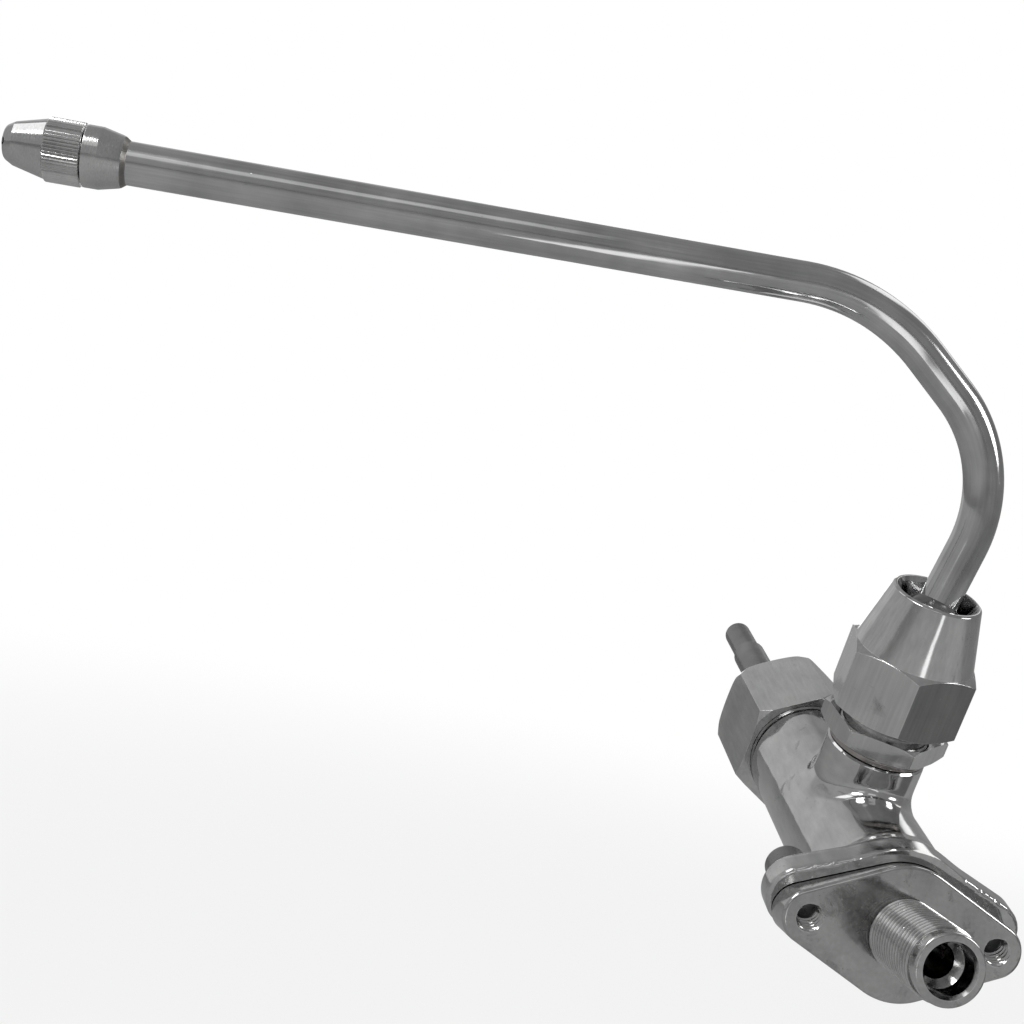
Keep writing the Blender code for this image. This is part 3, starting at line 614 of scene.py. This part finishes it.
# %% Knurled tip with four jets
def nozzle_tip(teeth=56):
    piece = to_object("spray_tip", spun(rounded([
        (0, 23.0), (2.6, 22.4), (2.6, 16.6), (4.4, 16.6), (4.4, 8.4), (6.6, 8.4, 0.05), (6.95, 8.7),
        (6.95, 15.9, 0.15), (6.5, 16.25, 0.15), (4.72, 23.1, 0.35), (3.6, 25.0, 1.6),
        (0.01, 26.0), (0, 26.0)]), 120), NOZZLE)
    bm = bmesh.new()
    bmesh.ops.create_circle(bm, cap_ends=True, segments=teeth * 4, radius=6.96)
    for i, v in enumerate(bm.verts):
        v.co.xy *= (1.0, 0.975, 0.95, 0.975)[i % 4]
    bmesh.ops.translate(bm, verts=bm.verts, vec=(0, 0, 7))
    top = bmesh.ops.extrude_face_region(bm, geom=bm.faces[:], use_keep_orig=True)["geom"]
    bmesh.ops.translate(bm, verts=vertices(top), vec=(0, 0, 20))
    combine(piece, to_object("toothed_bar", bm, NOZZLE), "INTERSECT")
    front = NOZZLE.to_3x3().inverted() @ Vector((0, 1, -0.15))
    first = math.atan2(front.y, front.x)
    for i in range(4):
        aim = (Matrix.Translation((0, 0, 20.9)) @ Matrix.Rotation(first + math.radians(90 * i), 4, "Z")
               @ Matrix.Rotation(math.radians(38), 4, "Y"))
        jet = spun([(0, 0.8), (0.65, 0.8), (0.70, 4.2), (0.85, 5.0), (0.85, 8), (0, 8)], 24)
        combine(piece, to_object("jet", jet, NOZZLE @ aim), "DIFFERENCE")
    smooth(piece, 28)
    return report(piece)


spray_tip = nozzle_tip()


# %% [markdown]
# ## Finishes
# Polished metal is mostly what it reflects, so its character comes from small departures from a mirror: fine
# marks that follow the tool, slow waves left by buffing a casting, edges rubbed brighter, and stains where
# coffee and limescale have dulled it. Each of these is a node group that gives a value or a mask. The groups
# work in millimetres along a piece's own axis, so one group serves turned, ground and cast pieces alike.

# %% Node helpers
def add(tree, kind, inputs=None, **settings):
    """Add a node; an input that is a socket is linked, anything else is a value."""
    node = tree.nodes.new("ShaderNode" + kind)
    for key, value in settings.items():
        setattr(node, key, value)
    for key, value in (inputs or {}).items():
        if isinstance(value, bpy.types.NodeSocket):
            tree.links.new(value, node.inputs[key])
        else:
            node.inputs[key].default_value = value
    return node


def sums(tree, operation, a, b=0.0, clamp=False):
    return add(tree, "Math", {0: a, 1: b}, operation=operation, use_clamp=clamp).outputs[0]


def effect(name, inputs, outputs):
    """Start a shader node group with named inputs and outputs."""
    tree = bpy.data.node_groups.new(name, "ShaderNodeTree")
    for label, kind, value in inputs:
        socket = tree.interface.new_socket(label, in_out="INPUT", socket_type="NodeSocket" + kind)
        if value is not None:
            socket.default_value = value
    for label, kind in outputs:
        tree.interface.new_socket(label, in_out="OUTPUT", socket_type="NodeSocket" + kind)
    return tree, tree.nodes.new("NodeGroupInput").outputs, tree.nodes.new("NodeGroupOutput").inputs


# %% Tool marks: noise drawn out along one direction
tool_marks, given, result = effect(
    "tool marks", [("Place", "Vector", None), ("Draw", "Vector", (1, 1, 1)), ("Fineness", "Float", 1.0)],
    [("Height", "Float"), ("Patches", "Float")])
drawn = add(tool_marks, "VectorMath", {0: given["Place"], 1: given["Draw"]}, operation="MULTIPLY").outputs[0]
fine = add(tool_marks, "TexNoise", {"Vector": drawn, "Scale": given["Fineness"], "Detail": 3.0})
broad = add(tool_marks, "TexNoise", {"Vector": given["Place"], "Scale": 0.11, "Detail": 2.0})
tool_marks.links.new(fine.outputs[0], result["Height"])
tool_marks.links.new(broad.outputs[0], result["Patches"])

# %% Lathe rings: noise that changes with radius and height only
lathe_rings, given, result = effect("lathe rings", [("Place", "Vector", None), ("Fineness", "Float", 3.0)],
                                    [("Height", "Float")])
parts = add(lathe_rings, "SeparateXYZ", {0: given["Place"]}).outputs
flat = add(lathe_rings, "CombineXYZ", {0: parts[0], 1: parts[1]}).outputs[0]
radius = add(lathe_rings, "VectorMath", {0: flat}, operation="LENGTH").outputs["Value"]
ring_place = add(lathe_rings, "CombineXYZ", {0: radius, 1: parts[2]}).outputs[0]
rings = add(lathe_rings, "TexNoise", {"Vector": ring_place, "Scale": given["Fineness"], "Detail": 2.0})
lathe_rings.links.new(rings.outputs[0], result["Height"])

# %% Rubbed edges: where a rounded normal leaves the true one, broken up by noise
rubbed_edges, given, result = effect("rubbed edges", [("Place", "Vector", None), ("Reach", "Float", 0.0004)],
                                     [("Mask", "Float")])
rounded_normal = add(rubbed_edges, "Bevel", {"Radius": given["Reach"]}, samples=4).outputs[0]
true_normal = rubbed_edges.nodes.new("ShaderNodeNewGeometry").outputs["Normal"]
facing = add(rubbed_edges, "VectorMath", {0: rounded_normal, 1: true_normal}, operation="DOT_PRODUCT")
edge = add(rubbed_edges, "MapRange", {0: facing.outputs["Value"], 1: 0.995, 2: 0.86, 3: 0.0, 4: 1.0}).outputs[0]
broken = add(rubbed_edges, "TexNoise", {"Vector": given["Place"], "Scale": 0.8, "Detail": 4.0}).outputs[0]
patchy = add(rubbed_edges, "MapRange", {0: broken, 1: 0.36, 2: 0.60, 3: 0.25, 4: 1.0}).outputs[0]
rubbed_edges.links.new(sums(rubbed_edges, "MULTIPLY", edge, patchy, True), result["Mask"])

# %% Stains and pits
stained, given, result = effect("stains and pits", [("Place", "Vector", None), ("Amount", "Float", 0.5)],
                                [("Stain", "Float"), ("Pits", "Float")])
cloud = add(stained, "TexNoise", {"Vector": given["Place"], "Scale": 0.16, "Detail": 5.0, "Roughness": 0.62,
                                  "Distortion": 0.5}).outputs[0]
level = sums(stained, "SUBTRACT", 0.72, sums(stained, "MULTIPLY", given["Amount"], 0.22))
soft = sums(stained, "SUBTRACT", cloud, level)
stain = sums(stained, "MULTIPLY", soft, 6.0, True)
spots = add(stained, "TexVoronoi", {"Vector": given["Place"], "Scale": 1.1, "Randomness": 1.0}).outputs["Distance"]
spot = add(stained, "MapRange", {0: spots, 1: 0.05, 2: 0.16, 3: 1.0, 4: 0.0}).outputs[0]
where = add(stained, "MapRange", {0: cloud, 1: 0.50, 2: 0.62, 3: 0.0, 4: 1.0}).outputs[0]
stained.links.new(stain, result["Stain"])
stained.links.new(sums(stained, "MULTIPLY", spot, sums(stained, "MULTIPLY", where, given["Amount"]), True),
                  result["Pits"])
print("effects:", ", ".join(group.name for group in bpy.data.node_groups))

# %% [markdown]
# ## Metals
# One function lays the effects out in the same order for every metal; each finish then has its own numbers. The
# tone drifts in broad patches, stains darken and dull it, rubbed edges brighten it. The tool marks go into both
# roughness and bump, because a scratch scatters light and tilts the surface at once.

# %% Metal finish
def millimetres_along(tree, place):
    """Object coordinates turned into millimetres in an axis frame."""
    inverse = place.inverted()
    here = tree.nodes.new("ShaderNodeTexCoord").outputs["Object"]
    return add(tree, "Mapping", {"Vector": here, "Location": inverse.translation,
                                 "Rotation": inverse.to_euler(), "Scale": inverse.to_scale()}).outputs[0]


def thread_root_shade(tree, here, root, crest, near, far):
    """A mask of painted shade that fills a thread's roots between two heights and fades out at its crests."""
    axial = add(tree, "SeparateXYZ", {0: here}).outputs
    across = add(tree, "CombineXYZ", {0: axial[0], 1: axial[1]}).outputs[0]
    radius = add(tree, "VectorMath", {0: across}, operation="LENGTH").outputs["Value"]
    root_shade = add(tree, "MapRange", {0: radius, 1: root, 2: crest, 3: 0.9, 4: 0.0}).outputs[0]
    for test, level, limit in (("GREATER_THAN", axial[2], near), ("LESS_THAN", axial[2], far),
                               ("GREATER_THAN", radius, root - 0.2)):
        root_shade = sums(tree, "MULTIPLY", root_shade, sums(tree, test, level, limit))
    return root_shade


def metal(name, place, light, dark, rough, marks=(1, 1, 1), fineness=2.0, depth=0.3, rings=0.0, waves=0.0,
          stain=0.3, edges=0.5, spread=0.1, by_lay=False, shaded_groove=None):
    """A metal finish. Colours are linear, depth and waves are bump strengths. A shaded groove is a thread's root
    and crest radius and the heights it runs between, and painted shade darkens its roots."""
    material = bpy.data.materials.new(name)
    material.use_nodes = True
    tree = material.node_tree
    shader = tree.nodes["Principled BSDF"]
    shader.inputs["Metallic"].default_value = 1.0
    here = millimetres_along(tree, place)
    drawn_on = here
    if by_lay:
        drawn_on = add(tree, "Attribute", attribute_name="lay").outputs["Vector"]
    scratch = add(tree, "Group", node_tree=tool_marks)
    tree.links.new(drawn_on, scratch.inputs["Place"])
    scratch.inputs["Draw"].default_value = marks
    scratch.inputs["Fineness"].default_value = fineness
    dirt = add(tree, "Group", node_tree=stained)
    tree.links.new(here, dirt.inputs["Place"])
    dirt.inputs["Amount"].default_value = stain
    rub = add(tree, "Group", node_tree=rubbed_edges)
    tree.links.new(here, rub.inputs["Place"])
    turning = add(tree, "Group", node_tree=lathe_rings)
    tree.links.new(here, turning.inputs["Place"])

    patch = add(tree, "MapRange", {0: add(tree, "TexNoise", {"Vector": here, "Scale": 0.09, "Detail": 3.0})
                                   .outputs[0], 1: 0.32, 2: 0.68, 3: 0.0, 4: 1.0}).outputs[0]
    tone = add(tree, "Mix", {0: patch, 6: (*dark, 1), 7: (*light, 1)}, data_type="RGBA").outputs[2]
    fine_tone = add(tree, "MapRange", {0: scratch.outputs["Height"], 1: 0.3, 2: 0.7, 3: 0.90, 4: 1.06}).outputs[0]
    tone = add(tree, "VectorMath", {0: tone, "Scale": fine_tone}, operation="SCALE").outputs[0]
    stain_and_shade = sums(tree, "MULTIPLY", dirt.outputs["Stain"], 0.55)
    stain_and_shade = sums(tree, "MAXIMUM", stain_and_shade, sums(tree, "MULTIPLY", dirt.outputs["Pits"], 0.85))
    # Painted shade: a thread's roots are darkened as if in shadow, on top of the real stains and pits.
    if shaded_groove:
        stain_and_shade = sums(tree, "MAXIMUM", stain_and_shade, thread_root_shade(tree, here, *shaded_groove))
    tone = add(tree, "Mix", {0: stain_and_shade, 6: tone, 7: (0.07, 0.065, 0.06, 1)}, data_type="RGBA").outputs[2]
    bright = sums(tree, "MULTIPLY", rub.outputs["Mask"], edges)
    tone = add(tree, "Mix", {0: bright, 6: tone, 7: (0.86, 0.86, 0.85, 1)}, data_type="RGBA").outputs[2]
    tree.links.new(tone, shader.inputs["Base Color"])

    streak = sums(tree, "MULTIPLY", sums(tree, "SUBTRACT", scratch.outputs["Height"], 0.5), spread * 2)
    roughness = sums(tree, "ADD", sums(tree, "ADD", streak, rough),
                     sums(tree, "MULTIPLY", dirt.outputs["Stain"], 0.3))
    roughness = sums(tree, "ADD", roughness, sums(tree, "MULTIPLY", patch, spread * 0.6))
    tree.links.new(sums(tree, "MAXIMUM", roughness, 0.04), shader.inputs["Roughness"])

    swell = add(tree, "TexNoise", {"Vector": here, "Scale": 0.13, "Detail": 1.0}).outputs[0]
    bump = add(tree, "Bump", {"Height": swell, "Strength": 1.0, "Distance": waves * 0.001})
    bump = add(tree, "Bump", {"Height": turning.outputs["Height"], "Strength": 1.0,
                              "Distance": rings * 0.00002, "Normal": bump.outputs[0]})
    bump = add(tree, "Bump", {"Height": scratch.outputs["Height"], "Strength": 1.0,
                              "Distance": depth * 0.00002, "Normal": bump.outputs[0]})
    bump = add(tree, "Bump", {"Height": dirt.outputs["Pits"], "Strength": 1.0, "Distance": 0.00008,
                              "Normal": bump.outputs[0]}, invert=True)
    tree.links.new(bump.outputs[0], shader.inputs["Normal"])
    return material


GREY = (0.64, 0.64, 0.635)
SHADE = (0.54, 0.54, 0.545)
casting = metal("plated casting", BARREL, GREY, SHADE, 0.075, (1, 1, 0.3), 0.5, 0.25, waves=0.14, stain=0.35,
                spread=0.05)
# The flange's pipe thread gets painted shade in its roots.
dull_flange = metal("dull flange", NIPPLE, (0.58, 0.58, 0.575), (0.44, 0.44, 0.44), 0.11, (1, 1, 1), 0.9, 0.5,
                    waves=0.10, stain=0.75, edges=0.8, spread=0.10,
                    shaded_groove=(7.5, 8.2, 0.4, 20.0))
bonnet_plate = metal("plated bonnet hexagon", BARREL, GREY, SHADE, 0.12, (1, 1, 0.15), 1.0, 0.2, rings=0.3,
                     waves=0.06, stain=0.3, edges=0.9, spread=0.06)
hex_plate = metal("plated outlet hexagon", BRANCH, GREY, SHADE, 0.08, (1.2, 1.2, 0.05), 1.0, 0.10, rings=0.15,
                  waves=0.06, stain=0.30, edges=0.8, spread=0.03)
wand_polish = metal("drawn stainless", WAND, (0.60, 0.60, 0.60), (0.46, 0.46, 0.465), 0.075, (9, 9, 0.045), 1.0,
                    0.35, waves=0.03, stain=0.2, edges=0.3, spread=0.12, by_lay=True)
ground_steel = metal("ground steel", BARREL, (0.36, 0.36, 0.365), (0.24, 0.24, 0.245), 0.30, (0.4, 0.4, 3), 1.5,
                     0.8, rings=0.9, stain=0.5, edges=0.5)
screw_steel = metal("dull screw steel", JOINT, (0.34, 0.34, 0.345), (0.22, 0.22, 0.225), 0.28, (1, 1, 1), 2.0,
                    0.8, rings=0.5, stain=0.5, edges=0.7)
tip_plate = metal("plated tip", NOZZLE, (0.64, 0.64, 0.635), (0.50, 0.50, 0.50), 0.08, (1, 1, 3), 1.4, 0.4,
                  rings=0.7, waves=0.01, stain=0.2, edges=0.7)
# Painted shade: the ball gets a dark tone because it sits in shadow inside the cone nut. Its stains are real.
shaded_ball_finish = metal("stained ball with painted shade", WAND, (0.34, 0.34, 0.34), (0.22, 0.22, 0.22), 0.12, (1, 1, 2), 1.2, 0.4,
                    rings=0.5, stain=0.8, edges=0.3)
braze_alloy = metal("brazing alloy", NOZZLE, (0.36, 0.35, 0.33), (0.20, 0.19, 0.18), 0.36, (1, 1, 1), 2.5, 1.5,
                    waves=0.05, stain=0.9, edges=0.1)
soft_copper = metal("tarnished copper", BRANCH, (0.50, 0.48, 0.46), (0.34, 0.32, 0.31), 0.20, (1, 1, 0.5), 2.0, 0.6,
                    rings=0.4, stain=0.6, edges=0.4)
barrel_copper = metal("soft copper gasket", BARREL, (0.62, 0.34, 0.22), (0.38, 0.20, 0.14), 0.30, (1, 1, 0.5), 2.0,
                      0.6, rings=0.4, stain=0.6, edges=0.4)
turned_brass = metal("turned brass", BARREL, (0.70, 0.54, 0.27), (0.52, 0.38, 0.17), 0.24, (1, 1, 2), 1.5, 0.5,
                     rings=1.0, stain=0.5, edges=0.5)
spring_steel = metal("spring steel", BRANCH, (0.32, 0.32, 0.33), (0.20, 0.20, 0.21), 0.30, (1, 1, 0.4), 2.0, 0.6,
                     rings=0.5, stain=0.4, edges=0.5)

# %% [markdown]
# ## Soft seals
# The packing, ball seats and tip seal are fluoropolymer: white, waxy, slightly mottled from pressing, with
# rings from parting off. The disc and the flange gasket are black rubber with a fine grain and a dusty bloom.

# %% Plastic and rubber
def moulded(name, place, light, dark, rough, grain, scatter=0.0):
    material = bpy.data.materials.new(name)
    material.use_nodes = True
    tree = material.node_tree
    shader = tree.nodes["Principled BSDF"]
    shader.inputs["Subsurface Weight"].default_value = scatter
    shader.inputs["Subsurface Scale"].default_value = 0.001
    here = millimetres_along(tree, place)
    marks = add(tree, "Group", node_tree=tool_marks)
    tree.links.new(here, marks.inputs["Place"])
    marks.inputs["Fineness"].default_value = grain
    turning = add(tree, "Group", node_tree=lathe_rings)
    tree.links.new(here, turning.inputs["Place"])
    mottle = sums(tree, "ADD", sums(tree, "MULTIPLY", marks.outputs["Height"], 0.6),
                  sums(tree, "MULTIPLY", marks.outputs["Patches"], 0.4))
    spread = add(tree, "MapRange", {0: mottle, 1: 0.38, 2: 0.62, 3: 0.0, 4: 1.0}).outputs[0]
    tone = add(tree, "Mix", {0: spread, 6: (*dark, 1), 7: (*light, 1)}, data_type="RGBA").outputs[2]
    tree.links.new(tone, shader.inputs["Base Color"])
    roughness = sums(tree, "ADD", rough, sums(tree, "MULTIPLY", spread, 0.15))
    tree.links.new(roughness, shader.inputs["Roughness"])
    bump = add(tree, "Bump", {"Height": marks.outputs["Height"], "Strength": 0.6, "Distance": 0.00004})
    bump = add(tree, "Bump", {"Height": turning.outputs["Height"], "Strength": 0.6, "Distance": 0.00004,
                              "Normal": bump.outputs[0]})
    tree.links.new(bump.outputs[0], shader.inputs["Normal"])
    return material


packing_white = moulded("white packing", BARREL, (0.80, 0.79, 0.75), (0.66, 0.64, 0.58), 0.36, 1.6, 0.1)
seat_white = moulded("white ball seat", BRANCH, (0.80, 0.79, 0.75), (0.62, 0.60, 0.54), 0.36, 1.6, 0.1)
tip_white = moulded("white tip seal", NOZZLE, (0.80, 0.79, 0.75), (0.66, 0.64, 0.58), 0.36, 1.6, 0.1)
black_rubber = moulded("black rubber", NIPPLE, (0.050, 0.050, 0.052), (0.022, 0.022, 0.023), 0.55, 4.0)
print("finishes:", len(bpy.data.materials))

# %% [markdown]
# ## Which body carries what
# Every new piece rides on the body that moves it, stands in for the CAD node it was modelled from, and takes its
# finish. Seals, bushes and rings whose CAD shape is already right keep it and only get a finish.

# %% Ride, replace and finish
PIECES = [
    (inlet_flange, "valve", "chrome", dull_flange, ["connector_flange"]),
    (tap_body, "valve", "chrome", casting, ["valve_body"]),
    *((screw, "valve", "steel", screw_steel, [f"flange_screw_{i}"]) for i, screw in enumerate(cap_screws, 1)),
    *((washer, "valve", "steel", screw_steel, [f"lock_washer_{i}"]) for i, washer in enumerate(washers, 1)),
    (bonnet_nut, "valve", "chrome", bonnet_plate, ["bonnet_nut"]),
    (union_washer, "valve", "copper", soft_copper, ["union_washer"]),
    (outlet_union, "valve", "chrome", hex_plate, ["outlet_union"]),
    (cone_nut, "valve", "chrome", hex_plate, ["cone_nut"]),
    (tap_spindle, "spindle", "steel", ground_steel, ["spindle"]),
    (wand_ball, "ball", "chrome", shaded_ball_finish, ["wand_ball"]),
    (steam_wand, "wand", "stainless", wand_polish, ["wand_tube"]),
    (ferrule, "wand", "chrome", tip_plate, ["nozzle_ferrule"]),
    (braze, "wand", "brass", braze_alloy, []),
    (spray_tip, "tip", "chrome", tip_plate, ["nozzle_tip"]),
]
for piece, body, slot, finish, nodes in PIECES:
    piece.data.materials.clear()
    piece.data.materials.append(finish)
    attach(piece, body)
    if nodes:
        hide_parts(*nodes)

KEPT = [
    (black_rubber, "flange_gasket seal_disc"), (barrel_copper, "bonnet_gasket"), (tip_white, "tip_gasket"),
    (turned_brass, "valve_seat bonnet_sleeve gland_bush seal_carrier"), (spring_steel, "gland_spring seat_spring"),
    (ground_steel, "packing_washer seal_screw carrier_clip"), (seat_white, "lower_ball_seat upper_ball_seat"),
    (packing_white, "packing_ring_1 packing_ring_2 packing_ring_3"),
]
for finish, names in KEPT:
    for name in names.split():
        for slot in frame["nodes"][name].material_slots:
            slot.material = finish
kept_names = " ".join(names for _, names in KEPT).split()
print(len(PIECES), "new pieces,", len(kept_names), "CAD nodes with new finishes")

# %% [markdown]
# ## Studio
# Chrome shows the room it stands in. A white room would wash the metal out, so reflections come from a grey room
# with soft white panels, while the camera itself sees a plain pale backdrop. The panels are painted on the
# world, which makes their reflections clean and quick to render. The floor hides the lower half of that world,
# so it has two marks of its own, a dark cloth and a light strip. They show in reflections only.

# %% Camera
LENS = 49.22
CAMERA_AT = (0.145245, 0.295853, 0.068297)
view_right = Vector((-0.968244, 0.131550, 0.212598))
view_up = Vector((0.212898, -0.011946, 0.977001))
view_back = view_right.cross(view_up)
camera = bpy.data.objects.new("camera", bpy.data.cameras.new("camera"))
bpy.context.scene.collection.objects.link(camera)
camera.data.lens = LENS
camera.data.clip_start = 0.01
turn = Matrix((view_right, view_up, view_back)).transposed().to_4x4()
camera.matrix_world = Matrix.Translation(CAMERA_AT) @ turn
bpy.context.scene.camera = camera
print("camera looks along", [round(-c, 3) for c in view_back])

# %% Grey room with soft panels
panel, given, result = effect(
    "soft panel", [("Towards", "Vector", None), ("Low", "Vector", (-1, -1, -1)), ("High", "Vector", (1, 1, 1)),
                   ("Softness", "Float", 0.1)], [("Mask", "Float")])
blur = add(panel, "CombineXYZ", {0: given["Softness"], 1: given["Softness"], 2: given["Softness"]}).outputs[0]
over = add(panel, "VectorMath", {0: given["Towards"], 1: given["Low"]}, operation="SUBTRACT").outputs[0]
under = add(panel, "VectorMath", {0: given["High"], 1: given["Towards"]}, operation="SUBTRACT").outputs[0]
mask = None
for side in (over, under):
    ramp = add(panel, "VectorMath", {0: side, 1: blur}, operation="DIVIDE").outputs[0]
    for share in add(panel, "SeparateXYZ", {0: ramp}).outputs:
        edge = add(panel, "MapRange", {0: share, 1: 0.0, 2: 1.0, 3: 0.0, 4: 1.0},
                   interpolation_type="SMOOTHSTEP").outputs[0]
        mask = edge if mask is None else sums(panel, "MULTIPLY", mask, edge)
panel.links.new(mask, result["Mask"])


def panel_mask(tree, vector, low, high, softness):
    """The panel group's mask, used on any tree."""
    box = add(tree, "Group", node_tree=panel)
    tree.links.new(vector, box.inputs["Towards"])
    for label, value in (("Low", low), ("High", high), ("Softness", softness)):
        box.inputs[label].default_value = value
    return box.outputs[0]


world = bpy.data.worlds.new("studio")
bpy.context.scene.world = world
world.use_nodes = True
room = world.node_tree
ray = room.nodes.new("ShaderNodeTexCoord").outputs["Generated"]
axes = [add(room, "VectorMath", {0: ray, 1: axis}, operation="DOT_PRODUCT").outputs["Value"]
        for axis in (view_right, view_up, view_back)]
towards = add(room, "CombineXYZ", {0: axes[0], 1: axes[1], 2: axes[2]}).outputs[0]
light = add(room, "MapRange", {0: axes[0], 1: -1.0, 2: 1.0, 3: 0.44, 4: 0.24}).outputs[0]
PANELS = [
    (1.20, (-0.52, 0.62, -0.36), (-0.22, 1.02, 0.60), 0.06),
    (0.55, (-0.48, 0.30, 0.30), (-0.20, 0.52, 1.05), 0.06),
    (0.45, (-0.06, 0.46, 0.10), (0.36, 0.76, 1.05), 0.05),
    (1.10, (0.46, 0.28, -0.90), (0.76, 0.80, -0.05), 0.05),
    (1.10, (-0.02, -0.28, -1.05), (0.24, 0.34, -0.86), 0.03),
    (0.18, (-0.75, -0.30, -1.05), (0.14, 0.84, -0.40), 0.15),
]
for strength, low, high, softness in PANELS:
    mask = panel_mask(room, towards, low, high, softness)
    light = sums(room, "ADD", light, sums(room, "MULTIPLY", mask, strength))
seen = room.nodes.new("ShaderNodeLightPath").outputs["Is Camera Ray"]
shown = add(room, "Mix", {0: seen, 2: light, 3: 1.0}).outputs[0]
room.links.new(shown, room.nodes["Background"].inputs["Strength"])
room.nodes["Background"].inputs["Color"].default_value = (1, 1, 1, 1)
bpy.context.scene.view_settings.view_transform = "Standard"
print(len(PANELS), "soft panels")


# %% Soft lights and the pale floor
def soft_light(name, spot, size, power):
    data = bpy.data.lights.new(name, "AREA")
    data.shape, data.size, data.energy = "DISK", size, power
    lamp = bpy.data.objects.new(name, data)
    bpy.context.scene.collection.objects.link(lamp)
    lamp.location = spot
    aim = Vector((0.09, -0.03, 0.06)) - Vector(spot)
    lamp.rotation_euler = aim.to_track_quat("-Z", "Y").to_euler()


soft_light("key", (0.62, 0.45, 0.75), 0.40, 3.0)
soft_light("fill", (-0.70, 0.30, 0.45), 0.35, 1.6)
FLOOR_Z, FLOOR_R = -0.075, 6.0
bm = bmesh.new()
bmesh.ops.create_circle(bm, cap_ends=True, segments=64, radius=FLOOR_R)
bmesh.ops.translate(bm, verts=bm.verts, vec=(0, 0, FLOOR_Z))
floor = to_object("floor", bm, Matrix.Identity(4))
pale = bpy.data.materials.new("pale floor")
pale.use_nodes = True
tree = pale.node_tree
here = tree.nodes.new("ShaderNodeTexCoord").outputs["Object"]
away = add(tree, "VectorMath", {0: here}, operation="LENGTH").outputs["Value"]
far = add(tree, "MapRange", {0: away, 1: 0.25, 2: 0.9, 3: 0.84, 4: 1.0}, interpolation_type="SMOOTHSTEP").outputs[0]
visible = tree.nodes.new("ShaderNodeLightPath").outputs["Is Camera Ray"]
unseen = sums(tree, "SUBTRACT", 1.0, visible)


def floor_mark(degrees, low, high, softness):
    """A soft-edged box on the floor, turned about Z, that the camera doesn't see."""
    spot = add(tree, "VectorRotate", {"Vector": here, "Angle": math.radians(degrees)},
               rotation_type="Z_AXIS").outputs[0]
    return sums(tree, "MULTIPLY", panel_mask(tree, spot, low, high, softness), unseen)


cloth_mark = floor_mark(0.0, (-0.60, -0.10, -1.0), (-0.13, 0.24, 1.0), 0.03)
strip_mark = floor_mark(-19.0, (0.075, 0.16, -1.0), (0.150, 0.84, 1.0), 0.015)
shade = add(tree, "Mix", {0: cloth_mark, 6: (0.50, 0.50, 0.50, 1), 7: (0.20, 0.20, 0.20, 1)},
            data_type="RGBA").outputs[2]
matt = add(tree, "BsdfDiffuse", {"Color": shade}).outputs[0]
strip = add(tree, "Emission", {"Color": (1, 1, 1, 1), "Strength": 1.5}).outputs[0]
matt = add(tree, "MixShader", {0: strip_mark, 1: matt, 2: strip}).outputs[0]
glow = add(tree, "Emission", {"Color": (1, 1, 1, 1), "Strength": 1.0}).outputs[0]
mixed = add(tree, "MixShader", {0: sums(tree, "MULTIPLY", far, visible), 1: matt, 2: glow}).outputs[0]
tree.links.new(mixed, tree.nodes["Material Output"].inputs["Surface"])
floor.data.materials.append(pale)
floor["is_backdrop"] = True

# %% [markdown]
# ## The size of the visual pieces
# The visual pieces are meant to fill the CAD model's box and no more, so both boxes are printed.

# %% Sizes
visual_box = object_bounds()
for label, box in (("CAD", cad_box), ("visual", visual_box)):
    print(label, "box (mm):", [[round(1000 * float(c), 2) for c in corner] for corner in box])
